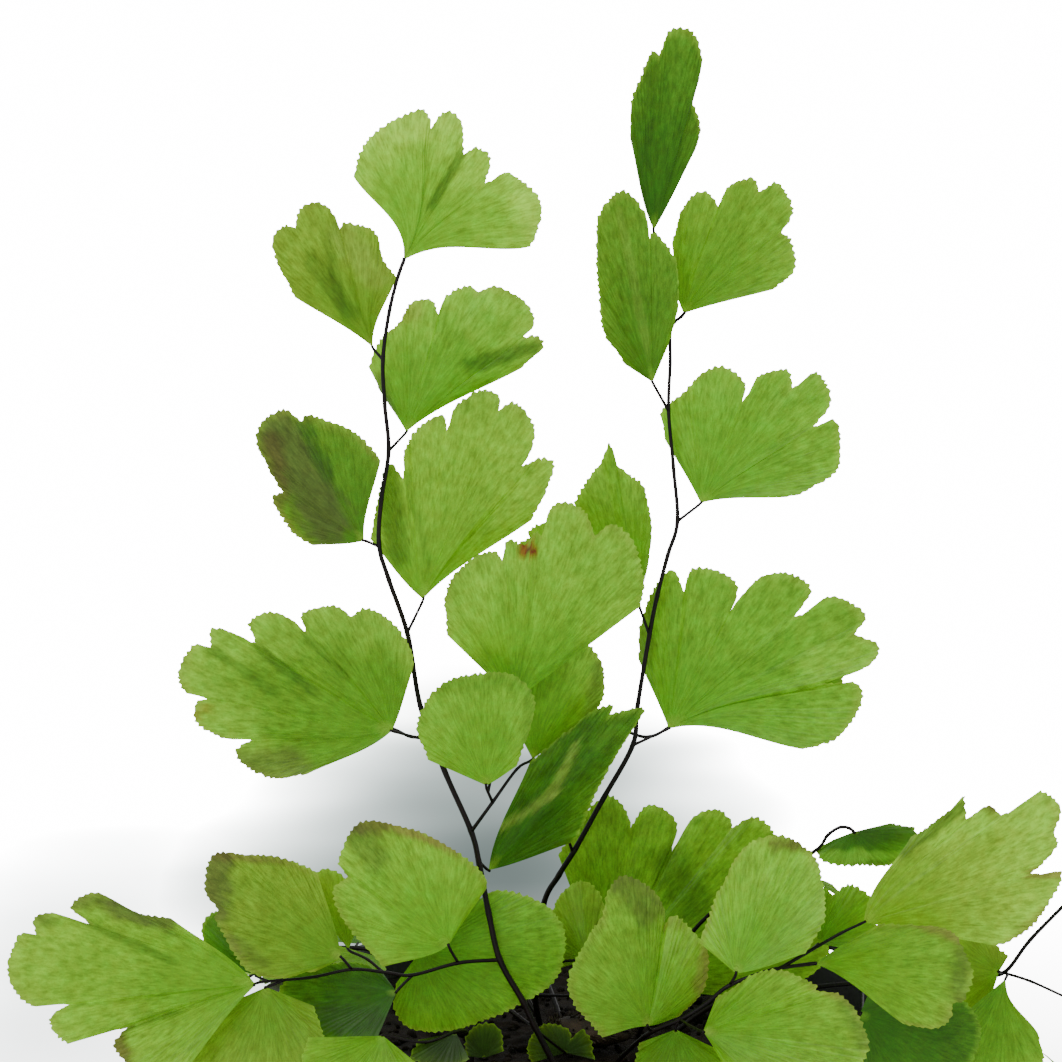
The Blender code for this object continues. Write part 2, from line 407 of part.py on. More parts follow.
def build_pot(look):
    """A plain round pot: tapered wall, thick rolled rim, flat base with drain holes off its middle."""
    mesh = bmesh.new()
    rim_foot = POT_HEIGHT - POT_RIM_HEIGHT
    rim_round = POT_RIM_ROUND
    floor = POT_WALL
    profile = [
        (0, 0),
        (POT_BASE_RADIUS - POT_FOOT_ROUND, 0),
        (wall_radius(POT_FOOT_ROUND), POT_FOOT_ROUND),
        (wall_radius(rim_foot), rim_foot),
        (POT_RIM_RADIUS, rim_foot + POT_RIM_STEP),
        (POT_RIM_RADIUS, POT_HEIGHT - rim_round),
        (POT_RIM_RADIUS - rim_round, POT_HEIGHT),
        (POT_TOP_RADIUS - POT_WALL + rim_round, POT_HEIGHT),
        (POT_TOP_RADIUS - POT_WALL, POT_HEIGHT - rim_round),
        (wall_radius(floor) - POT_WALL, floor),
        (0, floor),
    ]
    revolve(mesh, profile, POT_SEGMENTS)
    pot = add_object("pot", mesh, look)
    for k in range(DRAIN_HOLES):
        turn = 2 * math.pi * k / DRAIN_HOLES
        drill = bmesh.new()
        bmesh.ops.create_cone(
            drill,
            cap_ends=True,
            segments=DRAIN_SEGMENTS,
            radius1=DRAIN_RADIUS,
            radius2=DRAIN_RADIUS,
            depth=4 * POT_WALL,
        )
        middle = (DRAIN_CIRCLE * math.cos(turn), DRAIN_CIRCLE * math.sin(turn), POT_WALL / 2)
        bmesh.ops.translate(drill, vec=middle, verts=drill.verts)
        cut_away(pot, add_object("drill", drill, look))


def build_soil(look):
    """The root ball's soil, which fills the pot with a small gap and has a low domed top."""
    mesh = bmesh.new()
    inset = POT_WALL + SOIL_GAP
    edge = wall_radius(SOIL_EDGE_Z) - inset
    profile = [(0, inset), (wall_radius(inset) - inset, inset), (edge, SOIL_EDGE_Z)]
    for share in (0.75, 0.5, 0.25):
        profile.append((edge * share, soil_height(edge * share, 0)))
    profile.append((0, soil_height(0, 0)))
    revolve(mesh, profile, POT_SEGMENTS)
    add_object("soil", mesh, look)


def build_rhizome(look):
    """The short knobbly creeping stem that the fronds grow from, lying on the soil."""
    mesh = bmesh.new()
    bmesh.ops.create_icosphere(mesh, subdivisions=2, radius=1)
    x, y = RHIZOME_CENTRE
    foot = soil_height(0, 0) + GAP
    for vert in mesh.verts:
        swell = 1 + RHIZOME_KNOBS * math.sin(7 * vert.co.x + 3 * vert.co.y) * math.cos(5 * vert.co.z)
        vert.co = Vector([c * half * swell for c, half in zip(vert.co, RHIZOME_HALF)])
    lowest = min(vert.co.z for vert in mesh.verts)
    bmesh.ops.translate(mesh, vec=(x, y, foot - lowest), verts=mesh.verts)
    add_object("rhizome", mesh, look)


def tube(path, start_radius, end_radius, sides):
    """A closed tapering tube along a path of points."""
    mesh = bmesh.new()
    rings = []
    count = len(path) - 1
    side = None
    for k, point in enumerate(path):
        along = (path[min(k + 1, count)] - path[max(k - 1, 0)]).normalized()
        side = along.orthogonal() if side is None else side - along * side.dot(along)
        side.normalize()
        other = along.cross(side)
        radius = start_radius + (end_radius - start_radius) * k / count
        turns = [2 * math.pi * n / sides for n in range(sides)]
        spokes = [side * math.cos(a) + other * math.sin(a) for a in turns]
        rings.append([mesh.verts.new(point + spoke * radius) for spoke in spokes])
    for ring, following in zip(rings, rings[1:]):
        for n in range(sides):
            m = (n + 1) % sides
            mesh.faces.new((ring[n], ring[m], following[m], following[n]))
    mesh.faces.new(rings[0][::-1])
    mesh.faces.new(rings[-1])
    return mesh


def build_stem(name, root, radii, path, branches, look):
    """One stem with its side branches and leaf stalks, grown as one piece from the soil's surface."""
    foot = Vector((*root, soil_height(*root) + GAP))
    points = [foot] + [place(*point) for point in path]
    stem = add_object(name, tube(points, *radii, STEM_SIDES), look)
    for branch in branches:
        points = [place(*point) for point in branch]
        thick = BRANCH_RADIUS if len(branch) > 3 else STALK_RADIUS
        joined(stem, add_object("branch", tube(points, thick, STALK_RADIUS, STALK_SIDES), look))
    return stem


def leaf_rays(base, bends, margin):
    """For each margin point, the flat (across, up) points of the ray that reaches it from the base."""
    base = Vector(base)
    ends = [Vector(point[:2]) for point in margin]
    first, last = ends[0] - base, ends[-1] - base
    turn = 1 if first.cross(last) < 0 else -1
    rays = []
    for k, end in enumerate(ends):
        share = k / (len(ends) - 1)
        bend = bends[0] * max(0, 1 - 2 * share) - bends[1] * max(0, 2 * share - 1)
        out = end - base
        inward = Vector((out.y, -out.x)) * turn * bend
        rays.append([base + out * t + inward * BEND_SCALE * t * (1 - t) ** 2 for t in LEAF_ROWS])
    return rays


def leaf_surface(base, depths, belly, bends, margin):
    """The base point and rows of points of a leaf's middle surface."""
    rows = [[] for _ in LEAF_ROWS]
    at_base, at_first, at_last = depths
    rays = leaf_rays(base, bends, margin)
    for k, ray in enumerate(rays):
        share = k / (len(rays) - 1)
        edge = at_first + (at_last - at_first) * share + belly * math.sin(math.pi * share)
        for row, t, flat in zip(rows, LEAF_ROWS, ray):
            row.append(place(flat.x, flat.y, at_base + (edge - at_base) * t))
    return place(*base, at_base), rows


def leaf_plate(tip, rows):
    """A closed thin plate about a leaf's middle surface."""
    mesh = bmesh.new()
    across = rows[-1][-1] - rows[-1][0]
    outward = (rows[-1][len(rows[-1]) // 2] - tip).cross(across).normalized()
    lift = outward * LEAF_THICKNESS / 2
    faces = []
    for sign in (1, -1):
        point = mesh.verts.new(tip + lift * sign)
        grid = [[mesh.verts.new(p + lift * sign) for p in row] for row in rows]
        faces.append((point, grid))
        for k in range(len(grid[0]) - 1):
            mesh.faces.new((point, grid[0][k], grid[0][k + 1]))
            for inner, outer in zip(grid, grid[1:]):
                mesh.faces.new((inner[k], outer[k], outer[k + 1]))
                mesh.faces.new((inner[k], outer[k + 1], inner[k + 1]))
    (top_tip, top), (low_tip, low) = faces
    top_rim = [top_tip] + [row[0] for row in top] + top[-1][1:-1] + [row[-1] for row in reversed(top)]
    low_rim = [low_tip] + [row[0] for row in low] + low[-1][1:-1] + [row[-1] for row in reversed(low)]
    for k in range(len(top_rim)):
        n = (k + 1) % len(top_rim)
        mesh.faces.new((top_rim[k], top_rim[n], low_rim[n], low_rim[k]))
    return mesh


def fan_margin(base, heading, reach):
    """The margin of a plain fan of equal lobes, from its base along heading in degrees."""
    points = []
    last = 2 * FAN_LOBES
    for k in range(last + 1):
        angle = math.radians(heading + FAN_SPREAD / 2 - FAN_SPREAD * k / last)
        length = reach * (1 if k % 2 else FAN_NOTCH)
        if k in (0, last):
            length = reach * FAN_SIDE
        points.append((base[0] + length * math.cos(angle), base[1] + length * math.sin(angle)))
    return points


def build_back_frond(stem, leaves, look):
    """A frond behind the others: one stem with its leaves joined on, grown as one piece."""
    name, root, radii, path, branches = stem
    frond = build_stem(name, root, radii, path, branches, look)
    for across, up, depth, heading, reach in leaves:
        depths = (depth, depth - BACK_LEAN, depth + BACK_LEAN)
        margin = fan_margin((across, up), heading, reach)
        surface = leaf_surface((across, up), depths, BACK_BELLY, (0, 0), margin)
        joined(frond, add_object("leaf", leaf_plate(*surface), look))


def build_low_frond(name, azimuth, height, reach, first_leaf, last_leaf, look):
    """A low frond that arches over the rim, its leaves joined on alternately left and right."""
    out = Vector((math.cos(math.radians(azimuth)), math.sin(math.radians(azimuth)), 0))
    level = Vector((0, 0, SOIL_EDGE_Z))
    path = []
    for share in LOW_SHARES:
        radius = LOW_FOOT + (reach - LOW_FOOT) * share
        rise = height * LOW_ARCH * math.sin(math.pi * LOW_ARCH_SPAN * share) + LOW_START * (1 - share)
        path.append(level + out * radius + Vector((0, 0, rise - LOW_DROOP * share**3)))
    path[0].z = soil_height(path[0].x, path[0].y) + GAP
    frond = add_object(name, tube(path, *LOW_RADII, STEM_SIDES), look)
    for order, k in enumerate(LOW_LEAVES):
        along = (path[min(k + 1, len(path) - 1)] - path[k - 1]).normalized()
        side = along.cross(Vector((0, 0, 1))).normalized() * (1 if order % 2 else -1)
        last = k == len(path) - 1
        towards = along if last else (along * LOW_LEAF_SLANT + side).normalized()
        square = towards.cross(along.cross(side)).normalized()
        end = path[k] + towards * LOW_STALK
        stalk = tube([path[k], end + towards * STALK_REACH_IN], STALK_RADIUS, STALK_TIP_RADIUS, STALK_SIDES)
        joined(frond, add_object("stalk", stalk, look))
        leaf_reach = first_leaf + (last_leaf - first_leaf) * order / (len(LOW_LEAVES) - 1)
        margin = fan_margin((0, 0), 90, leaf_reach)
        rows = [[end + (square * a + towards * b) * t for a, b in margin] for t in LEAF_ROWS]
        joined(frond, add_object("leaf", leaf_plate(end, rows), look))


def main():
    for old in list(bpy.data.objects):
        bpy.data.objects.remove(old)
    looks = {
        "bright": material("leaf_bright", (0.22, 0.44, 0.045), 0.5),
        "pale": material("leaf_pale", (0.36, 0.5, 0.1), 0.5),
        "mid": material("leaf_mid", (0.13, 0.32, 0.03), 0.5),
        "olive": material("leaf_olive", (0.21, 0.3, 0.045), 0.5),
        "dusk": material("leaf_dusk", (0.1, 0.21, 0.035), 0.5),
        "dark": material("leaf_dark", (0.06, 0.18, 0.02), 0.5),
    }
    stem_look = material("stem", (0.018, 0.012, 0.01), 0.3)
    build_pot(material("pot_plastic", (0.03, 0.028, 0.026), 0.45))
    build_soil(material("soil", (0.035, 0.022, 0.014), 0.95))
    build_rhizome(material("rhizome_scales", (0.09, 0.045, 0.02), 0.85))
    for stem in STEMS:
        build_stem(*stem, stem_look)
    for name, tone, base, depths, belly, bends, margin in LEAVES:
        surface = leaf_surface(base, depths, belly, bends, margin)
        add_object("leaf_" + name, leaf_plate(*surface), looks[tone])
    build_back_frond(BACK_STEM, BACK_LEAVES, looks["mid"])
    for frond in LOW_FRONDS:
        build_low_frond(*frond, looks["mid"])


main()
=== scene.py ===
import math
import random

import bmesh
import bpy
from mathutils import Matrix, Vector, noise


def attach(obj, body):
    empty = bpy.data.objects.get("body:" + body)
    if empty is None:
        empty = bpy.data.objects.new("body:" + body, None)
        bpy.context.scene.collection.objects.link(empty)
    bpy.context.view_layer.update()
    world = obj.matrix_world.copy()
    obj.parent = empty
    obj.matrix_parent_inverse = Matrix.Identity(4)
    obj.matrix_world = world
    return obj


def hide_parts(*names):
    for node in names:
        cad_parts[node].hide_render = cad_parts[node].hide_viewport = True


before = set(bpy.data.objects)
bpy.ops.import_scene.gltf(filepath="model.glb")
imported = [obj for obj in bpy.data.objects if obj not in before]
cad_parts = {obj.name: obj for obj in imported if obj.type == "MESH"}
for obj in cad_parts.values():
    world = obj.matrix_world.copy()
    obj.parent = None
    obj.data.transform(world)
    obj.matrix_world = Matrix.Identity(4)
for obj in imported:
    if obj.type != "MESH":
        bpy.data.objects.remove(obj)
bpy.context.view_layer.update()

MM = 0.001

# The layout plane: leaves and front stems are laid out as (across, up, depth), where depth is the
# point's own Y and across and up are read on a plane tilted back, seen from SIGHT_DISTANCE away.
SIGHT_TILT = math.radians(10)
SIGHT_DISTANCE = 600.0
SIGHT_TARGET = Vector((-5.6, 0, 136))
LAYOUT_CENTRE = (-5.5, 63.0)
LAYOUT_WIDTH = 132.75

# Pot and soil.
POT_HEIGHT = 75.0
POT_BASE_RADIUS = 30.0
POT_TOP_RADIUS = 39.6
POT_RIM_RADIUS = 41.0
POT_RIM_HEIGHT = 7.0
POT_WALL = 1.4
DRAIN_HOLES = 5
DRAIN_RADIUS = 1.9
DRAIN_CIRCLE = 18.0
SOIL_EDGE_Z = 71.0
SOIL_DOME = 0.8
RHIZOME_CENTRE = (1.5, -9.0)
RHIZOME_HALF = (5.5, 3.0, 2.0)
POT_SEGMENTS = 144
RIM_ROUND = 0.8
SOIL_SEGMENTS = 180
SOIL_RINGS = 60
SOIL_SINK = 0.5
SOIL_CRUMBS = 900
RHIZOME_SCALES = 170

# Leaf blades.
BLADE_ROWS = 15
MARGIN_STEP = 0.16
TOOTH_LENGTH = 0.85
TOOTH_HEIGHT = 0.30
TOOTH_RISE = 0.62  # a tooth rises over this share of its length, falls over the next
TOOTH_FALL = 0.38
TOOTH_MIDDLE = 0.55
BLADE_RELIEF = 0.3
BEND_SCALE = 6.75  # brings the peak of t * (1 - t)**2 up to 1
RIM_WIDTH = 0.3
RIM_LIGHT = 0.4
CUT = "cut"  # marks the foot of a notch between two lobes

# Fan-shaped leaves of the back and low fronds: spread in degrees, and the sides' length beside the middle's.
FAN_SPREAD = 132
FAN_SIDE = 0.80
BACK_BELLY = 0.5

# Stems: how deep they start in the soil, and the radii of branches, leaf stalks and their tips.
STEM_DEPTH = 2.5
BRANCH_RADIUS = 0.24
STALK_RADIUS = 0.19
TIP_RADIUS = 0.16
LOW_TIP_RADIUS = 0.15
CURVE_STEP = 0.6
KNUCKLE_SWELL = 0.12
KNUCKLE_SHARPNESS = 6

# The leaf material: its streaks of veins as (turns, along, offset, detail), the reach in millimetres over
# which the finest veins appear, and how it mottles, shines and lets light through.
VEIN_STREAKS = ((6.0, 0.22, 0.0, 2.0), (26.0, 0.55, 3.3, 3.0), (62.0, 0.75, 7.1, 3.0))
HAIR_VEINS_FROM_TO = (5.0, 13.0)
MOTTLE_SCALE = 700.0
CELL_SCALE = 5200.0
LEAF_ROUGHNESS = 0.42
LEAF_GLOW = 0.38
THROUGH_LIGHT = (1.25, 1.12, 0.55)

# Plain materials: dark and light colour, grain per metre, roughness, bump in metres, and gloss.
PLAIN_LOOKS = {
    "stem_bark": ((0.003, 0.002, 0.002), (0.014, 0.007, 0.005), 400, 0.42, 0.00004, 0.25),
    "pot_shell_plastic": ((0.016, 0.015, 0.015), (0.028, 0.027, 0.026), 60, 0.45, 0.00006, 0.5),
    "compost_crumbs": ((0.004, 0.003, 0.002), (0.02, 0.012, 0.007), 420, 0.9, 0.0003, 0.2),
    "rootstock_scales": ((0.012, 0.007, 0.003), (0.06, 0.032, 0.014), 600, 0.75, 0.0002, 0.5),
}

# Floor, sky and lamps, in metres: a lamp's name, place and power.
FLOOR = (0.86, 0.87, 0.88)
FLOOR_FADE = (0.06, 0.36)
GROUND_GLOW = 16.0
# Painted shadow: SHADE_GLOW and SHADE_TINT give the dimmer glow and grey-blue tint of the shadow patches
# painted on the far ground.
SHADE_GLOW = 0.24
SHADE_TINT = (0.84, 1.06, 1.02)
SKY = (0.93, 0.97, 1.0)
SKY_STRENGTH = 0.62
LAMPS = (("front", (-0.45, -0.85, 0.95), 7), ("back", (0.5, 0.8, 0.7), 2.5))
LAMP_SIZE = 0.7
LAMP_AIM = Vector((0, 0, 0.13))

LEAVES = (
    # name, tone, base (across, up), depths (base, first, last), belly, bends (first, last), margin
    ("tall_left_1", "bright", (-21.4, 96.9), (-11, -13, -8), -1, (0.11, 0.07), (
        (-27.7, 107.3), (-26.7, 111), (-23.3, 114), (-19.6, 115.7), (-18.4, 114.9), (-18, 113.3, CUT),
        (-17.2, 114.8), (-15.7, 115.4), (-14.2, 113.8), (-13.9, 110.1, CUT), (-12.4, 111), (-10.6, 109.8),
        (-11.2, 106.5, CUT), (-8.6, 107.9), (-5.3, 105.6), (-4.2, 102.8), (-5.3, 98.9), (-6.8, 98.3))),
    ("tall_left_2", "mid", (-25.3, 86), (-11, -14, -8.3), -1, (0.02, 0.06), (
        (-35, 92.2), (-37.3, 96.5), (-37.7, 99.6), (-36.3, 101.3), (-35, 100.9, CUT), (-34.4, 103.2),
        (-32.3, 104.1), (-30.4, 102.8), (-29.5, 100.4, CUT), (-28.6, 101.6), (-25.3, 100.6),
        (-23.9, 97), (-22.3, 94.7))),
    ("tall_left_3", "bright", (-21.1, 75.4), (-11, -8.5, -10.5), -1, (0.01, 0.03), (
        (-24.2, 80.2), (-25.8, 83.2), (-24.4, 86.6), (-22, 89), (-20.5, 91.6), (-17.9, 91.9),
        (-17.1, 90.1, CUT), (-16.4, 92.2), (-13.4, 93.6), (-12.1, 92.9, CUT), (-9.8, 93.5), (-6.5, 91.7),
        (-5.1, 89.1), (-6.8, 87.2, CUT), (-5, 87.5), (-4, 86.2), (-6.6, 83.4))),
    ("tall_left_4", "dusk", (-26.4, 61.8), (-15.8, -18, -17.2), -1, (-0.03, 0.04), (
        (-32.8, 61.2), (-35.8, 63.2), (-37.8, 66.8), (-36.5, 67.9, CUT), (-38.1, 70.3), (-39.8, 74),
        (-38.8, 76.9), (-36.3, 78.2), (-34.2, 76.7, CUT), (-33.1, 77.4), (-28.2, 75.7), (-25.5, 73.5),
        (-24.3, 71.8))),
    ("tall_left_5", "mid", (-19, 54.5), (-13.8, -11.3, -14.5), -3, (-0.03, 0.03), (
        (-25.6, 62), (-24.9, 66.5), (-23.4, 71.4), (-21.5, 69.6, CUT), (-21.3, 73.4), (-19.2, 76.2),
        (-16.6, 77.5), (-16, 75.6, CUT), (-15.2, 78.4), (-12, 80.7), (-9.6, 80), (-9.7, 77.9, CUT),
        (-7.6, 79.2), (-5.2, 76.4), (-5.3, 73.5), (-6.9, 71, CUT), (-4.6, 72.2), (-2.6, 71.4),
        (-3.6, 68), (-5.4, 64.4))),
    ("tall_left_6", "mid", (-22.9, 38), (-17.6, -20, -19.5), -1, (-0.04, -0.02), (
        (-33.5, 32.6), (-37.5, 31.9), (-41.5, 33.8), (-42.4, 35.5), (-40.5, 36.9, CUT), (-43.7, 36.9),
        (-47.2, 39), (-47.3, 41.5), (-46, 42, CUT), (-48.5, 42.8), (-49.6, 45.2), (-47.8, 48.7),
        (-45.6, 48.3, CUT), (-45.5, 50.7), (-43, 50.4), (-39.7, 48.6, CUT), (-40.9, 51.6),
        (-38, 53), (-35.2, 51.6), (-33.6, 50, CUT), (-34.2, 52.7), (-30.3, 53.7), (-28, 52.3, CUT),
        (-26, 53.4), (-22.6, 51.3), (-20.2, 47.6), (-20.6, 44.6))),
    ("centre_1", "bright", (-7.5, 41.8), (-17.2, -19, -12), -1, (0, 0), (
        (-16, 50), (-16.3, 55), (-14, 58.7), (-10.4, 60.5), (-9.1, 59.4, CUT), (-8.4, 61.8),
        (-6.3, 61.2, CUT), (-4.9, 62.9), (-4.2, 62.3, CUT), (-3.5, 65.3), (-1.4, 66.6), (1.4, 65.3),
        (2.5, 62.4, CUT), (4.6, 63.8), (7.1, 62), (8.5, 57.5), (8.2, 53.6))),
    ("centre_2", "bright", (-11.1, 31.2), (-21, -25, -22), -2, (0, -0.02), (
        (-18.4, 34.4), (-19.8, 38.8), (-17.4, 43.2), (-12.5, 45.2), (-7.6, 44.9), (-5.1, 41.8),
        (-6.2, 36.8), (-7.3, 33.6))),
    ("centre_3", "mid", (-5.3, 34.5), (-15.2, -13.5, -13), 0, (0, 0), (
        (-11.2, 45.6), (-9.4, 48.5), (-3.5, 50), (0.9, 49.2), (3.5, 46.2), (3.6, 42.6), (2.2, 39.8))),
    ("centre_4", "dark", (-10.8, 20.6), (-15.5, -18.4, -12), -1.5, (-0.04, -0.02), (
        (-5.6, 34.2), (-1.3, 37.7), (2, 40.4), (4.7, 41.4), (4.4, 40.1, CUT), (8.7, 40.8), (6.5, 37.3),
        (3.4, 32), (0.3, 24.9), (-2.2, 23.8))),
    ("tall_right_1", "dark", (9.85, 100.6), (-4, -7, -1), 2, (-0.03, -0.01), (
        (6.9, 112), (6.8, 116), (8.3, 120.2), (9.6, 123), (10.5, 122.5, CUT), (11.8, 125.5), (14.6, 125.5),
        (15.9, 122.6), (15.1, 119), (14.6, 116.9), (15.6, 113.4), (14.7, 110))),
    ("tall_right_2", "dusk", (9.7, 81.6), (-6.5, -9.5, -7.5), -1, (0, 0), (
        (6.3, 83.8), (4.1, 86.8), (3.1, 90.5), (2.6, 98), (3.2, 102.8), (5.8, 105.6), (8.6, 103.2),
        (9, 98.8, CUT), (10, 100.3), (12.4, 97), (13, 93), (12.2, 88.6), (11, 84.8))),
    ("tall_right_3", "mid", (13.6, 90.2), (-4.2, -3.8, -8), -1, (-0.05, 0.01), (
        (12.1, 99), (13.8, 104), (16.2, 105.4), (17.9, 103.6, CUT), (19.3, 106.2), (22.2, 107.1),
        (23, 105.4, CUT), (25.3, 106.5), (27.2, 103), (25.8, 100.3, CUT), (27.2, 99.4), (27.4, 95.8),
        (24.8, 93.2))),
    ("tall_right_4", "bright", (15.7, 66.5), (-5.8, -2.5, -9), -0.5, (0.01, 0.03), (
        (11.2, 74.5), (10.8, 78), (13.4, 80.2), (16, 82.7), (18.8, 83.5), (21.3, 81.6), (20.9, 79.2, CUT),
        (22.8, 82.2), (26.4, 83.2), (27.2, 80.9, CUT), (30.2, 83), (31.9, 79.3), (29.8, 76.1, CUT),
        (32.6, 76.5), (33, 71), (29.5, 68.4), (26, 67.2))),
    ("tall_right_5", "dark", (7.9, 53.9), (-7.5, -6, -7), 1, (0, 0), (
        (-0.2, 63.5), (0.2, 67.2), (2.4, 70.5), (3.2, 71.4, CUT), (4.3, 73.9), (5, 71.3, CUT), (6.8, 70),
        (8.7, 68.4), (9.5, 63.5), (9, 58))),
    ("tall_right_6", "bright", (11.7, 38.3), (-7, -3.5, -11), -1, (0.01, 0.06), (
        (7.9, 47), (8.1, 51.6), (10.2, 56.5), (12.3, 58.2), (13.6, 55.4, CUT), (14.4, 58.2), (17.4, 58.3),
        (20.2, 56.3), (19.5, 53.1, CUT), (22, 56.5), (26, 57.9), (29.5, 55.9), (27.5, 52.3, CUT),
        (32, 54.8), (36.2, 52.6), (35, 50.1, CUT), (38, 48.8), (36.6, 46.2), (30, 43.9, CUT), (34.8, 44.1),
        (35.9, 41.6), (33, 37.3), (28.5, 35.7))),
    ("tall_right_7", "dark", (-1.1, 25.4), (-7.6, -8.4, -8), 0, (0, 0), (
        (-5, 30), (-4, 33.4), (-1.2, 35.6), (1.3, 35), (2.2, 31.5))),
    ("low_left_1", "bright", (-39.9, 6.3), (-26.2, -31, -26.5), -2, (0.02, -0.04), (
        (-49.5, -5.5), (-54, -4.8), (-57.6, -1.6), (-56, 0.9, CUT), (-61.8, -0.8), (-64.4, -0.4),
        (-65.7, 2), (-63.3, 3.8, CUT), (-68.2, 3.6), (-70.9, 7.6), (-69.6, 12.4), (-67.4, 12.2, CUT),
        (-67.7, 14.6), (-65.2, 15.2), (-60.8, 13.9, CUT), (-63, 16.1), (-60, 17.8), (-56.5, 16),
        (-53.5, 15), (-50.5, 14.6))),
    ("low_left_2", "olive", (-29.2, 9.7), (-24.5, -27.2, -22), -1, (-0.03, -0.02), (
        (-32.5, 7.9), (-37, 6.9), (-41, 8), (-43.3, 11.4), (-45, 14.3), (-44.6, 15.6, CUT),
        (-46.2, 18.3), (-45.2, 22.6), (-41, 22.7), (-36.5, 22.1), (-32.2, 20.3))),
    ("low_left_3", "bright", (-15.8, 11.2), (-20.6, -23, -20), -1, (-0.05, 0.01), (
        (-24, 8.5), (-28.8, 14), (-30.3, 18), (-28.4, 19.8, CUT), (-29.7, 21.6), (-27.5, 26.3),
        (-23.5, 26.5), (-18.5, 24.9), (-14, 22.5), (-11.3, 20), (-11, 18.4))),
    ("low_left_4", "dark", (-22.3, 5.4), (-22.2, -24.5, -20), 0, (0, 0), (
        (-24.8, -0.6), (-29, -1.6), (-33, -0.5), (-35.9, 2.2), (-37, 5.6), (-33.5, 8.4), (-28, 9),
        (-24.2, 8))),
    ("low_left_5", "mid", (-19.4, 10.4), (-17.5, -19.5, -15.5), 0.9, (0, 0), (
        (-22.4, 6.4), (-22.7, 3.5), (-21, 1), (-17.5, 0.2), (-13, 1.3), (-8, 3.2), (-4.2, 5.2),
        (-1.9, 7.8), (-1.3, 11), (-1.7, 14), (-3.5, 16.2), (-7, 17.6), (-10, 18), (-13, 16.5))),
    ("low_left_6", "olive", (1.6, 9.4), (-12.6, -10, -9), 0, (0, 0), (
        (-2.4, 8.2), (-3.2, 11.5), (-2.8, 15.5), (-1.4, 18.2), (1, 19.4), (3, 18), (4, 14.5))),
    ("low_left_7", "olive", (-28.3, 10.7), (-19.4, -17.8, -18.2), 0, (0, 0), (
        (-33, 16.5), (-32.3, 20.2), (-29.6, 20.4), (-26, 16.5))),
    ("low_left_8", "dark", (-39.6, 7.4), (-22.8, -21.5, -19.5), 0, (0, 0), (
        (-43.6, 8.6), (-46.4, 11.6), (-46.6, 14), (-45, 15.4), (-42, 14.6), (-39.8, 12))),
    ("low_front_1", "olive", (-38.6, 6), (-25, -30.5, -24.5), 0, (0, 0), (
        (-32.6, 3.6), (-31.4, -2), (-35.5, -7.5), (-41.5, -8.5), (-47.5, -6.5), (-49.3, -3.5), (-45.5, 3))),
    ("low_front_2", "bright", (-24, -0.1), (-35, -39, -41), -1, (0, 0), (
        (-19.8, -3.5), (-21, -8.5), (-26, -10.8), (-31.5, -9.5), (-34.2, -5), (-33.4, -0.3))),
    ("low_front_3", "dark", (-14.9, 0.3), (-23.6, -25.6, -26), 0, (0, 0), (
        (-13.2, -3), (-15, -3.9), (-18, -3.9), (-20.6, -2.8), (-19.6, -0.6))),
    ("low_front_4", "dark", (-11.4, -2.9), (-21.5, -22, -22), 0, (0, 0), (
        (-13.6, -2.6), (-13.7, -0.6), (-12.6, 0.9), (-10.8, 1.4), (-9.3, 0.4), (-8.9, -2))),
    ("low_front_5", "dark", (-1.2, -2.2), (-16.2, -16, -16.4), 0, (0, 0), (
        (-5.4, -3.5), (-6, -1.6), (-5.3, 0.2), (-4.2, 1.3), (-2.6, 1.4), (-0.6, 0.5), (-0.7, -0.6, CUT),
        (0.7, 0.8), (2.1, -0.6), (2.5, -3.1))),
    ("low_right_1", "mid", (4, 6.3), (-5.2, -2.5, -3), 0, (0, 0), (
        (-2.1, 22.5), (1.2, 27.6), (4.2, 29.9), (6.6, 28), (6.6, 25.5, CUT), (9, 28.7), (12.6, 26.8),
        (11.8, 22.4, CUT), (14.4, 27), (17.7, 28.2), (19.6, 26.8), (19.6, 25.9, CUT), (22.4, 27.4),
        (25, 25), (27, 19), (31, 14), (31.6, 10), (28, 6.6), (21, 4.6))),
    ("low_right_2", "bright", (9.1, 1.1), (-27, -29, -25), 4, (0.04, -0.03), (
        (3.4, -0.3), (-0.2, 4), (-0.9, 7.4), (1.5, 12.3), (3.3, 14.6), (4, 17.8), (6, 20), (9.4, 18.6),
        (11, 15.8), (10.8, 13.2, CUT), (12.4, 14.9), (14.6, 13.2), (16.8, 10.2), (16, 5.6), (13, 2.3))),
    ("low_right_3", "bright", (20.1, 7.7), (-29.5, -26, -31), 3, (0, -0.03), (
        (15.6, 11.5), (17.5, 17), (21, 23.3), (25.3, 24.9), (29.5, 22.8), (31, 19), (31.2, 14.6),
        (28.8, 10.2))),
    ("low_right_4", "olive", (30, 8.9), (-28.5, -33, -30), -1, (-0.02, 0.04), (
        (38, 13.9), (43, 13.8), (46.9, 13.1), (48.4, 11), (49.8, 7.6), (48.9, 4.6), (47.2, 3.9, CUT),
        (46.9, 2), (45, 0.8), (41, 1.4))),
    ("low_right_5", "pale", (36.1, 14.1), (-26.4, -24, -25), 0, (-0.07, 0), (
        (42, 24.8), (46.5, 27.8), (48.6, 30.1), (48.9, 27, CUT), (51.6, 28.7), (53.3, 27.5, CUT),
        (56, 29.3), (58.2, 30.5), (60.8, 28.4), (59.9, 25.3, CUT), (60.4, 23.5), (57, 20.2, CUT),
        (60.8, 20.3), (58.4, 15.2), (54, 11.6), (50.5, 11.8))),
    ("low_right_6", "bright", (16, 0.4), (-36, -38, -42), -2, (0, 0.02), (
        (17.6, 4.6), (21.5, 7.3), (25.5, 8.1), (29.9, 6.5), (30.1, 5.6, CUT), (33.5, 5), (36.4, 0.6),
        (36.2, -3.2), (31, -7.4), (25, -8.2), (19.5, -5.6))),
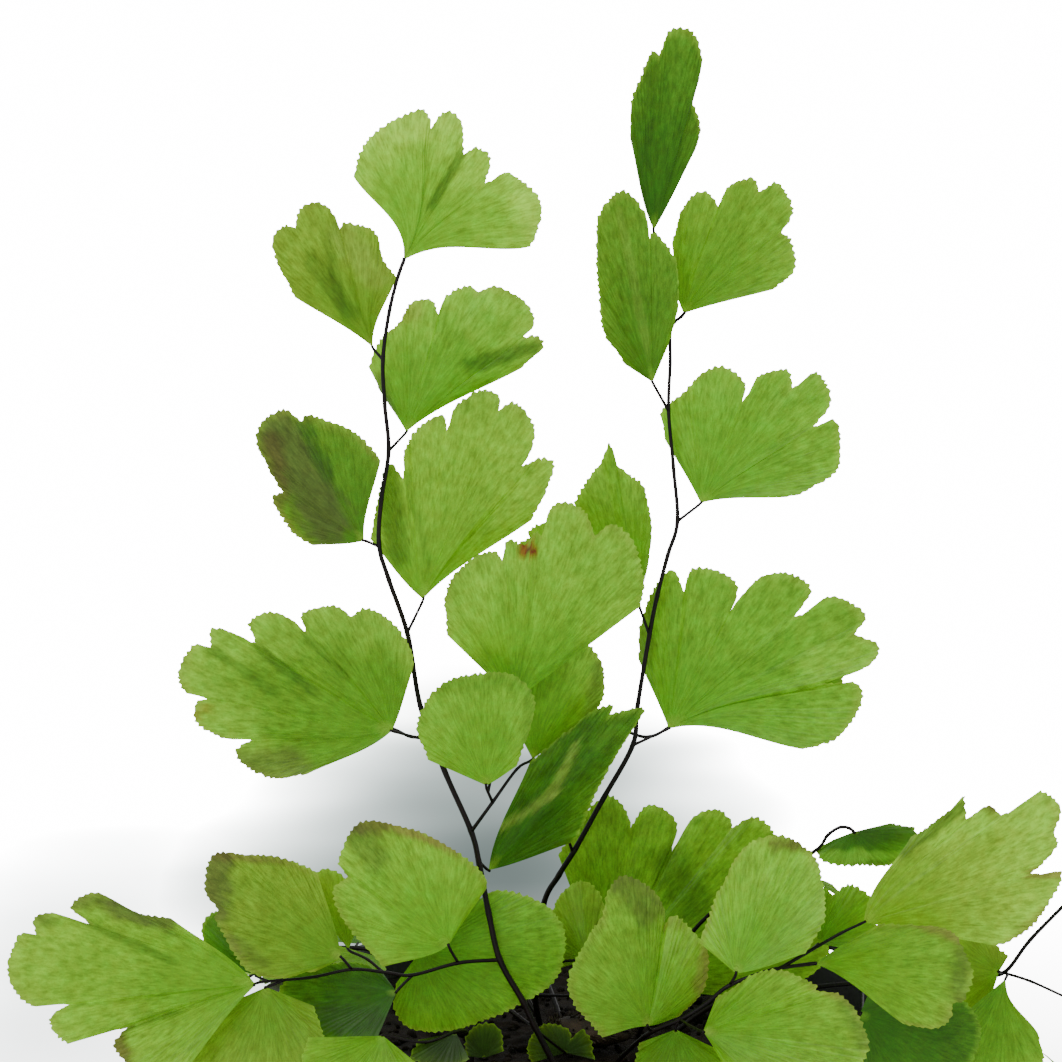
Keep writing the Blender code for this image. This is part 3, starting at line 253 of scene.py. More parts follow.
    ("low_right_7", "mid", (12.6, 0.7), (-27.8, -29, -28.5), 0, (0, 0), (
        (17.4, -1.6), (18.6, -4), (15, -5), (11, -5.2), (7.8, -4), (8, -1))),
    ("low_right_8", "mid", (30.4, 11.4), (-23.6, -22, -21.4), 0, (0, 0), (
        (29.5, 17.4), (31.1, 18.4), (32.2, 17.5, CUT), (34.3, 18.9), (36.6, 17.6), (38, 15.2), (37, 12.4),
        (34, 10.8))),
    ("curled", "dark", (34.8, 25.4), (-19.6, -17.5, -18), -2, (0, 0), (
        (39.4, 26.5), (42.4, 25.8), (41.8, 23), (39.4, 21.1), (35.6, 21.1), (31.5, 21.6), (30.4, 22.9),
        (32.2, 24.4))),
    ("far_right_1", "mid", (53, 7.9), (-18, -17, -18), 0, (0, 0), (
        (51, 1.5), (46.5, 1.8), (44.3, 5.5), (44.8, 10), (47, 12.9), (51.5, 11.7), (54.2, 9.9))),
    ("far_right_2", "mid", (53.8, 7), (-19.6, -20.5, -20.5), 0, (0.1, 0), (
        (57.9, 0.2), (58.6, -3.5), (55, -7.8), (50, -7), (47.6, -2.5), (49, 3))),
    ("far_right_3", "dark", (35.6, 2.6), (-23.4, -24.4, -24), 0, (0, 0), (
        (37.6, 7.4), (43.5, 7), (49, 4), (50.8, 0.4), (49, -4.5), (44, -7.5), (38, -7), (35.4, -5))),
    ("far_right_4", "bright", (62.9, 18.1), (-19, -18, -21), 0, (0, 0), (
        (62, 24), (65.8, 27.4), (68.4, 26.6), (68.7, 25, CUT), (71, 24.2), (71.6, 20.5), (68.5, 17))),
    ("far_right_5", "mid", (61.6, 4.7), (-20, -19, -22), 0, (0, 0), (
        (62.4, 8.3), (66.4, 9.7), (67.6, 8.2, CUT), (70.4, 6.6), (70.4, 2.4), (66, 0), (62.6, 1.4))),
)

STEMS = (
    # name, root (x, y), radii (foot, tip), path of (across, up, depth), side branches of the same
    ("stem_left", (-2.2, -19.6), (0.4, 0.22), (
        (-5, 1, -19), (-6.5, 4.2, -18.6), (-9.4, 9.4, -18), (-10.8, 15.3, -17.5), (-12, 21.5, -17),
        (-13, 25.5, -17), (-16.3, 33, -16.5), (-19.3, 41, -16), (-20.9, 50, -15.6), (-23.3, 57, -15.5),
        (-24.5, 61.3, -15.5), (-24.2, 67, -15), (-23.3, 73, -14.5), (-23.8, 79, -13.7), (-24, 84.5, -13),
        (-23.2, 90.5, -12.3), (-22, 95.2, -11.5), (-21.5, 96.5, -11.1)), (
        ((-24, 84.4, -13), (-25.15, 85.7, -11.4)),
        ((-23.3, 73, -14.5), (-21.3, 75.1, -11.4)),
        ((-24.4, 61, -15.5), (-26, 61.7, -15.8)),
        ((-21, 50.2, -15.6), (-19.1, 54.1, -14.1)),
        ((-17.9, 36.9, -16.3), (-19.8, 37.2, -16.8), (-22.5, 37.9, -17.5)),
        ((-12.1, 21.8, -17), (-11.1, 20.8, -15.9)),
        ((-13, 25.4, -17), (-10.3, 29.1, -19.2), (-7.3, 33.2, -17.5), (-5.7, 34.2, -15.8)),
        ((-10.3, 29.1, -19.2), (-11.05, 30.8, -20.6)),
        ((-10.9, 30.3, -20.1), (-10, 34, -19), (-7.7, 41.3, -17.6)),
        ((-9.4, 9.4, -18), (-14.6, 9, -20), (-20.3, 7.5, -22), (-23.5, 7.8, -23), (-27.9, 8.2, -24),
         (-33, 7.2, -25), (-39.4, 6.6, -25.8)),
        ((-14.6, 9, -20), (-15.6, 10.7, -20.5)),
        ((-27.9, 8.2, -24), (-28.9, 9.4, -24.4)),
        ((-20.3, 7.5, -22), (-22, 5.8, -22.1)),
        ((-24, 7.85, -23.1), (-26, 9.5, -21), (-28, 10.4, -19.8)),
        ((-38.4, 6.7, -25.6), (-39.9, 7.4, -23.3)),
        ((-36.2, 6.95, -25.4), (-37.7, 6.3, -25.3)),
        ((-4.6, 0.4, -19.1), (-1.6, -1.95, -16.7)))),
    ("stem_front_left", (-13, -19.2), (0.35, 0.22), (
        (-12.9, -1.6, -18.6), (-12.8, 0, -17.5), (-11.6, 3.2, -16.2), (-12.4, 6.5, -15.4),
        (-16, 9.2, -15.8), (-18.9, 10.3, -17)), (
        ((-12.85, -0.8, -18.1), (-13.6, 0.4, -22), (-15, 0.4, -27.5), (-18.8, -0.9, -33.5),
         (-23.6, 0, -34.8)),
        ((-13.9, 0.45, -23.4), (-14.6, 0.35, -23.5)),
        ((-12.9, -1.5, -18.5), (-12.3, -2.2, -20), (-11.6, -2.75, -21.2)))),
    ("stem_right", (-4.4, 0), (0.4, 0.2), (
        (-5, 6, -1.5), (-4, 16, -3.8), (-2, 20, -4.8), (0, 23.2, -5.6), (3.5, 29.5, -6.4), (7.2, 36.2, -7),
        (7.8, 41, -7), (9.3, 50, -7), (10.3, 55, -7), (11.6, 60, -6.4), (12.8, 64.2, -6), (12.3, 71, -5.4),
        (11.7, 78, -5), (11.9, 84, -4.5), (12, 88.3, -4), (13.4, 89.9, -4.1)), (
        ((12, 88.2, -4), (11, 94, -3.6), (9.9, 100.1, -3.9)),
        ((11.7, 78, -5), (9.9, 81.2, -6.3)),
        ((12.8, 64.2, -6), (15.4, 66.2, -5.8)),
        ((9.3, 50, -7), (8.1, 53.4, -7.4)),
        ((7.2, 36.2, -7), (11.3, 38.1, -7)),
        ((-0.3, 22.9, -5.5), (-1, 24.9, -7.3)),
        ((-4.8, 7, -1.8), (-3.6, 8.7, -9), (-1.6, 9.2, -12.4), (1.2, 9.4, -12.9)),
        ((-4.9, 5, -1.4), (0, 5, -4), (3.6, 6, -5.1)))),
    ("stem_right_low", (4, -18.3), (0.3, 0.22), (
        (8.8, -0.1, -25.6), (13.2, 1.9, -28), (16.5, 4, -28.6), (19.3, 6.2, -29), (24.5, 8.1, -29),
        (29.5, 8.9, -28.5)), (
        ((9.7, 0.35, -26), (9.25, 0.8, -26.7)),
        ((19.3, 6.2, -29), (20, 7.3, -29.4)),
        ((13.2, 1.9, -28), (14.3, 1.2, -32), (15.7, 0.5, -35.5)),
        ((12.9, 1.7, -27.9), (12.6, 1.1, -27.8)),
        ((25.5, 8.25, -29), (28.8, 10.2, -28), (33, 12.6, -27.2), (35.7, 13.9, -26.6)),
        ((29.2, 10.4, -27.9), (30.2, 11.2, -24.1)))),
    ("stem_curled", (8, -3), (0.3, 0.2), (
        (14, 12, -12), (22, 19, -16), (29.7, 22.8, -19), (31.6, 25, -19.5), (33.2, 26, -19.6),
        (34.4, 25.8, -19.7)), ()),
    ("stem_far_right", (10, -10), (0.35, 0.22), (
        (18, 4, -12), (30, 6, -15), (42, 7, -15.5), (50, 7.6, -15.5), (53.6, 7.8, -16.5), (57, 12, -17.5),
        (62.6, 17.7, -18.8)), (
        ((53.6, 7.8, -16.5), (57, 6.7, -18), (61.2, 4.8, -19.7)),
        ((53.5, 7.8, -16.4), (53.15, 7.85, -17.5)),
        ((54.1, 7.6, -16.8), (53.9, 7.2, -19.1)),
        ((36, 6.5, -15.3), (35.9, 3.2, -22.9)))),
)

# The tall back frond stands behind the front ones: its stem, and its leaves as
# (across, up, depth, heading in degrees, reach).
BACK_LEAN = 1.5
BACK_STEM = (
    "frond_back", (0.5, 6), (0.38, 0.22), (
        (0.5, 10, 8), (0.2, 22, 11), (-0.5, 34, 13), (-1.5, 46, 15), (-2.6, 57.6, 18), (-2.8, 59, 18.2)), (
        ((-1.5, 46, 15), (-3.5, 49, 15.6), (-6, 50.8, 16)),
        ((-1.6, 47, 15.2), (0, 50, 16.4), (2, 52, 17)),
        ((-0.9, 38.5, 13.8), (-4.6, 40.2, 14)),
        ((0, 26, 11.6), (0.9, 28.6, 12)),
        ((0.3, 15, 9.2), (3.6, 17.4, 10)),
        ((-1, 39, 13.9), (5, 38.4, 14), (9.4, 37.3, 14), (14, 40, 15), (22, 44, 17), (28.8, 46.5, 18)),
        ((14, 40, 15), (15.1, 42.3, 15)),
        ((20, 43, 16.5), (21.2, 45.3, 17)),
        ((20, 43, 16.5), (23.7, 42.6, 17)),
        ((-1.3, 42, 14.4), (-10, 40.5, 14.5), (-19, 37.3, 15), (-22.8, 38.3, 15), (-30, 41, 17),
         (-38.2, 43.4, 18)),
        ((-25, 39.1, 15.6), (-26, 40.8, 16)),
        ((-29.5, 40.8, 16.9), (-31.4, 42.4, 17)),
        ((-29.5, 40.8, 16.9), (-32.6, 40, 17))))
BACK_LEAVES = (
    (-2.7, 58.2, 18.1, 90, 6), (-5.5, 50.5, 16, 150, 8.5), (1.6, 51.6, 17, 112, 7), (-4, 40, 14, 165, 9),
    (0.6, 28.1, 12, 130, 5.5), (3.1, 17.1, 10, 30, 10), (15, 41.8, 15, 65, 9.5), (21, 44.8, 17, 70, 8.5),
    (23.1, 42.7, 17, -12, 6), (28.2, 46.3, 18, 25, 6.5), (-25.8, 40.3, 16, 125, 9),
    (-31.1, 42.1, 17, 130, 9), (-32, 40.1, 17, 215, 5.5), (-37.6, 43.2, 18, 165, 7))

# Arching fronds at the back and sides: name, azimuth in degrees, height, reach, and the reach of the
# first and the last leaf.
LOW_FRONDS = (
    ("frond_low_right", 16, 11, 58, 8, 11.5), ("frond_low_back_right", 60, 9, 56, 8, 12),
    ("frond_low_back_left", 105, 8, 58, 8, 12), ("frond_low_left", 150, 9, 56, 8, 12),
    ("frond_mid_right", 32, 20, 44, 7, 9.5), ("frond_mid_left", 132, 16, 50, 7, 9.5))
LOW_FOOT = 6.0
LOW_START = 1.0
LOW_ARCH = 1.1
LOW_ARCH_SPAN = 0.62
LOW_DROOP = 14.0
LOW_STALK = 2.4
LOW_RADII = (0.32, 0.2)
LOW_LEAF_SLANT = 0.45
LOW_SHARES = (0, 0.15, 0.3, 0.42, 0.54, 0.66, 0.78, 0.89, 1.0)
LOW_LEAVES = (3, 4, 5, 6, 7, 8)

# Leaf colours as (near the base, toward the margin) for each tone, and the tints laid over them.
# Each leaf's tone is partly its own green and partly painted light and shade for how lit it lies:
# the darker tones stand in part for leaves in shade, and the dimmest tone is painted shade only.
TONES = {
    "bright": ((0.185, 0.50, 0.014), (0.255, 0.58, 0.022)),
    "pale": ((0.26, 0.55, 0.020), (0.36, 0.66, 0.040)),
    "fresh": ((0.135, 0.44, 0.012), (0.175, 0.50, 0.016)),
    "vivid": ((0.195, 0.56, 0.015), (0.275, 0.66, 0.026)),
    "mid": ((0.125, 0.38, 0.010), (0.17, 0.44, 0.014)),
    "olive": ((0.165, 0.40, 0.012), (0.235, 0.46, 0.022)),
    # The next two tones: partly a leaf's own deeper green, partly painted shade for leaves that lie in shade.
    "dusk": ((0.085, 0.27, 0.010), (0.12, 0.33, 0.012)),
    "dark": ((0.040, 0.17, 0.006), (0.066, 0.23, 0.009)),
    # Painted shade: the tone of the small leaves that lie in shade low in front.
    "shade_dim": ((0.035, 0.085, 0.012), (0.055, 0.12, 0.018)),
}
TINTS = {
    "pale": (0.40, 0.86, 0.055),
    "tan": (0.30, 0.27, 0.06),
    "brown": (0.13, 0.07, 0.03),
    "rust": (0.30, 0.05, 0.015),
    "shade": (0.035, 0.11, 0.010),
    # A dull olive tint: partly the leaves' own browning at their tips, partly painted shade where a leaf lies
    # in shadow.
    "dusky_browning_and_shade": (0.10, 0.12, 0.035),
    # Painted light: lighter green lines and patches where a leaf catches more light.
    "light": (0.36, 0.55, 0.09),
    # Painted highlight: the brightest patches, where a leaf is most lit.
    "glow": (0.52, 0.98, 0.09),
    # Painted highlight: a lighter band along the fold of the curled leaf, whose curl is not built.
    "lit_fold": (0.19, 0.50, 0.03),
}

# Own looks of some leaves: how pale toward the tips, how brown at the margin, how far in it browns.
PLAIN = {"pale": 0.1, "brown": 0.3, "rim": 0.6}
LOOKS = {
    "tall_left_1": {"tone": "vivid", "pale": 0.7, "brown": 0.15},
    "tall_left_2": {"tone": "olive", "brown": 0.6},
    "tall_left_3": {"tone": "fresh", "pale": 0.4, "brown": 0.6},
    "tall_left_4": {"brown": 0.7, "rim": 1.6},
    "tall_left_5": {"tone": "bright", "pale": 0.2, "brown": 0.45},
    "tall_left_6": {"pale": 0.45, "brown": 0.7, "rim": 1.2},
    "centre_1": {"tone": "vivid", "pale": 0.3, "brown": 0.8, "rim": 1.3},
    "centre_2": {"tone": "vivid", "brown": 0.5},
    "centre_3": {"brown": 0.5, "pale": 0.2},
    "tall_right_4": {"tone": "fresh", "brown": 0.4},
    "tall_right_5": {"tone": "mid"},
    "tall_right_6": {"tone": "fresh", "brown": 0.45},
    "tall_right_7": {"tone": "mid"},
    "low_left_1": {"pale": 0.25, "brown": 0.7, "rim": 1.2},
    "low_left_2": {"brown": 0.9, "rim": 1.8},
    "low_left_3": {"tone": "vivid", "brown": 0.7, "rim": 1.2},
    "low_left_5": {"tone": "fresh", "brown": 0.5},
    "low_right_2": {"brown": 0.8, "rim": 1.4},
    "low_right_3": {"tone": "vivid", "brown": 0.8, "rim": 1.1},
    "low_right_4": {"tone": "bright", "brown": 0.9, "rim": 1.4},
    "low_right_5": {"pale": 0.8, "brown": 0.7},
    "low_right_6": {"brown": 0.9, "rim": 1.2},
    "low_right_7": {"brown": 0.5},
    # Painted shade: the leaves low in front lie in shade and take the dimmest tone.
    "low_front_3": {"tone": "shade_dim"},
    "low_front_4": {"tone": "shade_dim"},
    "low_front_5": {"tone": "shade_dim"},
    "far_right_1": {"tone": "olive", "brown": 0.5},
    "far_right_3": {"brown": 0.1},
}

# Marks on single leaves: start and end (across, up), half width, tint and strength. The dark green marks are
# painted shadow, the lighter and bright green marks painted light, the dull olive ones partly browning and
# partly painted shade; the tan, brown and rust marks are the leaves' own browning.
MARKS = {
    "tall_left_1": (((-14, 110.5), (-18, 103.5), 0.8, "shade", 0.65),
                    ((-27, 112.5), (-14, 115), 2.8, "glow", 0.5),
                    ((-5.6, 106), (-4, 100), 2.6, "glow", 0.5)),
    "tall_left_2": (((-28, 90), (-33, 97), 1.6, "shade", 0.45), ((-29, 90), (-31, 100), 0.9, "shade", 0.3),
                    ((-29, 100), (-25, 95), 2.6, "light", 0.35)),
    "tall_left_3": (((-13.5, 83.6), (-5, 86), 1.4, "shade", 0.65), ((-22, 90), (-20, 90.5), 1.6, "tan", 0.4),
                    ((-24.6, 82), (-23.4, 78), 1.4, "dusky_browning_and_shade", 0.5)),
    "tall_left_4": (((-37, 75), (-31, 64), 4.2, "dusky_browning_and_shade", 0.75), ((-34, 77), (-31, 70), 1.4, "shade", 0.6),
                    ((-38, 74), (-37, 67), 2.0, "brown", 0.45)),
    "tall_left_5": (((-23.5, 70), (-22, 60), 2.2, "shade", 0.55), ((-21, 70), (-18, 58), 0.7, "shade", 0.3)),
    "tall_left_6": (((-42, 33.8), (-35, 34), 2.8, "dusky_browning_and_shade", 0.6),
                    ((-39.7, 48.5), (-33, 43), 0.9, "shade", 0.5),
                    ((-45.4, 48.3), (-38, 43), 0.9, "shade", 0.45),
                    ((-33.6, 50), (-29, 45), 0.8, "shade", 0.35),
                    ((-47.4, 40), (-46, 41), 0.7, "rust", 0.4)),
    "centre_1": (((-6.3, 60.8), (-5.5, 60.6), 1.3, "rust", 1.0),
                    ((-6, 60.9), (-5.8, 60.7), 0.6, "brown", 0.9),
                 ((-11, 47), (-7, 45), 2.0, "shade", 0.35)),
    "centre_2": (((-17, 43.6), (-6, 44.5), 1.6, "shade", 0.25), ((-5.6, 43), (-6, 36), 1.0, "shade", 0.35)),
    "centre_3": (((3.2, 46), (2, 40), 1.4, "dusky_browning_and_shade", 0.45),),
    "centre_4": (((-9, 26), (-3, 30), 0.8, "light", 0.45), ((-3, 30), (0, 36), 0.8, "light", 0.45)),
    "tall_right_2": (((5.5, 103), (9, 86), 0.8, "light", 0.15),),
    "tall_right_6": (((8.5, 47), (9.3, 55), 1.6, "dusky_browning_and_shade", 0.4), ((30, 46), (35, 47), 3.0, "pale", 0.3)),
    "low_left_1": (((-57, 16), (-51, 14.5), 2.2, "dusky_browning_and_shade", 0.75), ((-57, -0.5), (-56, -4), 1.6, "brown", 0.75),
                   ((-60.8, 13.9), (-50, 9), 0.8, "shade", 0.45), ((-63, 16.5), (-58, 17), 1.5, "dusky_browning_and_shade", 0.6),
                   ((-68, 14), (-66, 14.5), 1.3, "dusky_browning_and_shade", 0.5), ((-56, 1), (-50, 3), 0.7, "shade", 0.35)),
    "low_left_2": (((-45, 16), (-44.5, 22), 3.0, "dusky_browning_and_shade", 0.7), ((-45, 22.5), (-36, 22), 1.0, "brown", 0.5),
                   ((-43, 12), (-39, 9), 1.2, "dusky_browning_and_shade", 0.4)),
    "low_left_3": (((-28, 26), (-24, 26.3), 1.6, "brown", 0.75), ((-23, 26.2), (-15, 23.2), 0.8, "tan", 0.8),
                   ((-27.5, 25), (-25, 22), 2.4, "dusky_browning_and_shade", 0.5)),
    "low_left_4": (((-25, 1.5), (-33, 2.5), 2.8, "shade", 0.75),),
    "low_right_1": (((12, 21), (15, 16), 3.5, "shade", 0.55),),
    "low_right_2": (((6, 19.5), (9, 16), 3.2, "dusky_browning_and_shade", 0.6), ((15.5, 6), (16.6, 11), 1.2, "tan", 0.6)),
    "low_right_3": (((25, 23.8), (30, 24), 1.2, "brown", 0.7),),
    "low_right_4": (((48, 5), (48.6, 12), 1.8, "dusky_browning_and_shade", 0.6), ((43, 13.8), (48, 12), 0.9, "tan", 0.7)),
    "low_right_5": (((41, 23), (49, 29), 1.1, "shade", 0.6), ((55, 30), (57, 26), 3.0, "pale", 0.6),
                    ((52, 28.6), (52.2, 28.2), 0.9, "brown", 0.9),
                    ((57, 20.2), (60.5, 20.3), 1.0, "tan", 0.8),
                    ((55, 12), (58.6, 15.6), 0.8, "tan", 0.6)),
    "low_right_6": (((33.5, 4.6), (36.2, -1), 1.6, "dusky_browning_and_shade", 0.45), ((30, 6.2), (33, 5), 1.0, "tan", 0.5)),
    "curled": (((31, 22), (36, 22.4), 1.3, "lit_fold", 0.85), ((36, 22.4), (41, 22.4), 0.9, "lit_fold", 0.8),
               ((36, 24.8), (42, 25), 1.4, "shade", 0.5)),
}


def sight_frame():
    """The eye, and the layout plane's across and up directions."""
    forward = Vector((0, math.cos(SIGHT_TILT), -math.sin(SIGHT_TILT)))
    up = Vector((0, math.sin(SIGHT_TILT), math.cos(SIGHT_TILT)))
    return SIGHT_TARGET - forward * SIGHT_DISTANCE, Vector((1, 0, 0)), up


EYE, ACROSS, UP = sight_frame()


def place(across, up, depth):
    """The point whose Y is depth and that is seen at (across, up)."""
    seen = SIGHT_TARGET + ACROSS * (across - LAYOUT_CENTRE[0]) + UP * (up - LAYOUT_CENTRE[1])
    share = (depth - EYE.y) / (seen.y - EYE.y)
    return EYE + (seen - EYE) * share


def soil_height(x, y):
    """Height of the soil's domed surface."""
    reach = (x * x + y * y) / POT_TOP_RADIUS**2
    return SOIL_EDGE_Z + SOIL_DOME * (1 - reach)


def blend(a, b, share):
    return [p + (q - p) * share for p, q in zip(a, b)]


def smooth(low, high, value):
    """0 below low, 1 above high, with a soft step between."""
    share = min(1, max(0, (value - low) / (high - low)))
    return share * share * (3 - 2 * share)


def rough(x, y, z, scale):
    """Smooth noise from about -1 to 1."""
    return noise.noise(Vector((x * scale, y * scale, z)))


def curve_through(points, steps):
    """A smooth curve through points: (position, index along the points) for each step."""
    first = points[0] * 2 - points[1]
    last = points[-1] * 2 - points[-2]
    ring = [first] + points + [last]
    line = []
    for k in range(len(points) - 1):
        a, b, c, d = ring[k:k + 4]
        count = steps(b, c)
        for n in range(count):
            t = n / count
            square = a * 2 - b * 5 + c * 4 - d
            cube = b * 3 - a - c * 3 + d
            at = (b * 2 + (c - a) * t + square * t**2 + cube * t**3) / 2
            line.append((at, k + t))
    line.append((points[-1], len(points) - 1))
    return line


def lobes_of(margin):
    """Splits a margin at its notches: (first index, points) for each lobe."""
    lobes = []
    start = 0
    for k, point in enumerate(margin):
        if k and (len(point) > 2 or k == len(margin) - 1):
            lobes.append((start, [Vector(p[:2]) for p in margin[start:k + 1]]))
            start = k
    return lobes


def tooth_at(run, seed):
    """How far the teeth push the margin out at a distance along it."""
    along = run + 0.55 * rough(run, seed, 3.1, 0.8)
    turn = (along / TOOTH_LENGTH) % 1
    tooth = min(turn / TOOTH_RISE, (1 - turn) / TOOTH_FALL) - TOOTH_MIDDLE
    height = TOOTH_HEIGHT * (1 + 0.9 * rough(along, seed, 8.7, 0.5))
    wander = 0.22 * rough(run, seed, 5.5, 0.33)
    return tooth * height + wander


def margin_line(base, margin, seed):
    """The toothed margin as (point, share along the margin, place within the lobe)."""
    line = []
    run = 0.0
    for start, points in lobes_of(margin):
        curve = curve_through(points, lambda b, c: max(1, round((c - b).length / MARGIN_STEP)))
        reach = [0.0]
        for (a, _), (b, _) in zip(curve, curve[1:]):
            reach.append(reach[-1] + (b - a).length)
        for k, (at, index) in enumerate(curve):
            if line and k == 0:
                continue
            before, after = curve[max(k - 1, 0)][0], curve[min(k + 1, len(curve) - 1)][0]
            out = Vector((after.y - before.y, before.x - after.x)).normalized()
            out = out if out.dot(at - base) > 0 else -out
            nearest = min(reach[k], reach[-1] - reach[k])
            shifted = at + out * tooth_at(run + reach[k], seed) * smooth(0, 0.9, nearest)
            share = (start + index) / (len(margin) - 1)
            line.append((shifted, share, reach[k] / reach[-1]))
        run += reach[-1]
    return line


def swept(base, line):
    """Keeps the margin's points that lie further round the base than those before, with their angles."""
    first = line[0][0] - base
    sweep = sum((a[0] - base).cross(b[0] - base) for a, b in zip(line, line[1:]))
    turn = 1 if sweep > 0 else -1
    kept = []
    furthest = -1.0
    for point, share, phase in line:
        out = point - base
        angle = math.atan2((first.x * out.y - first.y * out.x) * turn, first.dot(out))
        angle += 2 * math.pi if angle < -1 else 0
        if angle > furthest:
            furthest = angle
            kept.append((point, share, phase, angle))
    return kept, turn


class Blade:
    """One leaf blade as a grid of rays from its base to its margin."""

    def __init__(self, base, bends, margin, put, seed):
        base = Vector(base)
        ends, turn = swept(base, margin_line(base, margin, seed))
        self.points = []
        self.faces = []
        self.facts = []  # share along the margin, share along the ray, reach, flat point
        self.fan = []
        rows = [(j / BLADE_ROWS) ** 0.85 for j in range(1, BLADE_ROWS + 1)]
        self.add(base, 0.5, 0, 0, put, 0, seed)
        for end, share, phase, angle in ends:
            bend = bends[0] * max(0, 1 - 2 * share) - bends[1] * max(0, 2 * share - 1)
            out = end - base
            inward = Vector((out.y, -out.x)) * -turn * bend
            for t in rows:
                flat = base + out * t + inward * BEND_SCALE * t * (1 - t) ** 2
                waves = rough(flat.x, flat.y, seed, 0.16) * 1.6
                ribs = 0.25 * rough(angle, 0, seed, 9.0)
                lift = BLADE_RELIEF * t * (waves - t * math.sin(math.pi * phase) ** 2 + ribs)
                self.add(flat, share, t, angle, put, lift, seed, out.length)
        count = len(rows)
        for k in range(len(ends) - 1):
            a, b = 1 + k * count, 1 + (k + 1) * count
            self.faces.append((0, a, b))
            for j in range(count - 1):
                self.faces.append((a + j, a + j + 1, b + j + 1, b + j))

    def add(self, flat, share, t, angle, put, lift, seed, reach=0.0):
        self.points.append(put(flat, share, t, lift))
        self.facts.append((share, t, reach, flat))
        self.fan.append((angle, reach * t, seed))


def front_put(depths, belly):
    """Puts a front leaf's flat points at the depths that its plate has."""
    at_base, at_first, at_last = depths

    def put(flat, share, t, lift):
        edge = at_first + (at_last - at_first) * share + belly * math.sin(math.pi * share)
        return place(flat.x, flat.y, at_base + (edge - at_base) * t + lift)

    return put


def tinted(blade, look, marks):
    """The blade's colour at each point: paler outward, browned at the margin, lightened along the rim as
    painted rim light, with its own marks of browning, painted shade and painted light.
    """
    colours = []
    inner, outer = TONES[look["tone"]]
    seed = look["seed"]
    for share, t, reach, flat in blade.facts:
        colour = blend(inner, outer, smooth(0.1, 1.0, t + 0.25 * rough(flat.x, flat.y, seed, 0.2)))
        patch = rough(flat.x, flat.y, seed + 5, 0.35)
        colour = blend(colour, TINTS["pale"], look["pale"] * smooth(0.55, 1.0, t + 0.2 * patch))
        near = reach * (1 - t)
        brown = smooth(look["rim"], 0, near) * (0.45 + 0.9 * max(0, rough(share * 9, seed, 1.7, 1.0) + 0.25))
        colour = blend(colour, TINTS["tan"], min(1, look["brown"] * brown))
        colour = blend(colour, TINTS["pale"], RIM_LIGHT * smooth(RIM_WIDTH, 0, near))
        for start, end, width, tint, strength in marks:
            away = distance_to(flat, Vector(start), Vector(end)) / width
            away += 0.3 * rough(flat.x, flat.y, seed + 2, 0.9)
            colour = blend(colour, TINTS[tint], strength * (1 - smooth(0.4, 1.0, away)))
        colours.append(colour)
    return colours


def distance_to(point, start, end):
    """Distance of a flat point from the line between two others."""
    line = end - start
    share = 0 if line.length == 0 else max(0, min(1, (point - start).dot(line) / line.length_squared))
    return (point - start - line * share).length


def mesh_object(name, points, faces, look):
    """A piece from points in millimetres, shaded smooth, riding on the plant's one body."""
    data = bpy.data.meshes.new(name)
    data.from_pydata([Vector(p) * MM for p in points], [], faces)
    data.update()
    for face in data.polygons:
        face.use_smooth = True
    data.materials.append(look)
    made = bpy.data.objects.new(name, data)
    bpy.context.scene.collection.objects.link(made)
    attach(made, "root")
    return made


def blades_object(name, blades, colours, look):
    """One piece from one or more blades, with their colours and vein directions as attributes."""
    points, faces, tints, fans, sheet = [], [], [], [], []
    side = math.ceil(math.sqrt(len(blades)))
    for n, (blade, colour) in enumerate(zip(blades, colours)):
        start = len(points)
        points += blade.points
        faces += [tuple(start + k for k in face) for face in blade.faces]
        tints += colour
        fans += blade.fan
        flats = [fact[3] for fact in blade.facts]
        low = Vector((min(f.x for f in flats), min(f.y for f in flats)))
        size = max(max(f.x for f in flats) - low.x, max(f.y for f in flats) - low.y)
        cell = Vector((n % side, n // side))
        sheet += [(cell + Vector((0.03, 0.03)) + (f - low) * 0.94 / size) / side for f in flats]
    made = mesh_object(name, points, faces, look)
    data = made.data
    tint = data.attributes.new("tint", "FLOAT_COLOR", "POINT")
    tint.data.foreach_set("color", [c for colour in tints for c in (*colour, 1.0)])
    fan = data.attributes.new("fan", "FLOAT_VECTOR", "POINT")
    fan.data.foreach_set("vector", [c for vector in fans for c in vector])
    layer = data.uv_layers.new(name="OFBake")
    for loop in data.loops:
        layer.data[loop.index].uv = sheet[loop.vertex_index]
    return made


def tube(path, radii, sides=10):
    """Points and faces of a smooth closed tube along a path, with a radius for each point."""
    points, faces = [], []
    side = None
    count = len(path) - 1
    for k, at in enumerate(path):
        along = (path[min(k + 1, count)] - path[max(k - 1, 0)]).normalized()
        side = along.orthogonal() if side is None else side - along * side.dot(along)
        side.normalize()
        other = along.cross(side)
        for n in range(sides):
            angle = 2 * math.pi * n / sides
            points.append(at + (side * math.cos(angle) + other * math.sin(angle)) * radii[k])
    for k in range(count):
        for n in range(sides):
            m = (n + 1) % sides
            a, b = k * sides, (k + 1) * sides
            faces.append((a + n, a + m, b + m, b + n))
    faces.append(tuple(range(sides - 1, -1, -1)))
    faces.append(tuple(count * sides + n for n in range(sides)))
    return points, faces


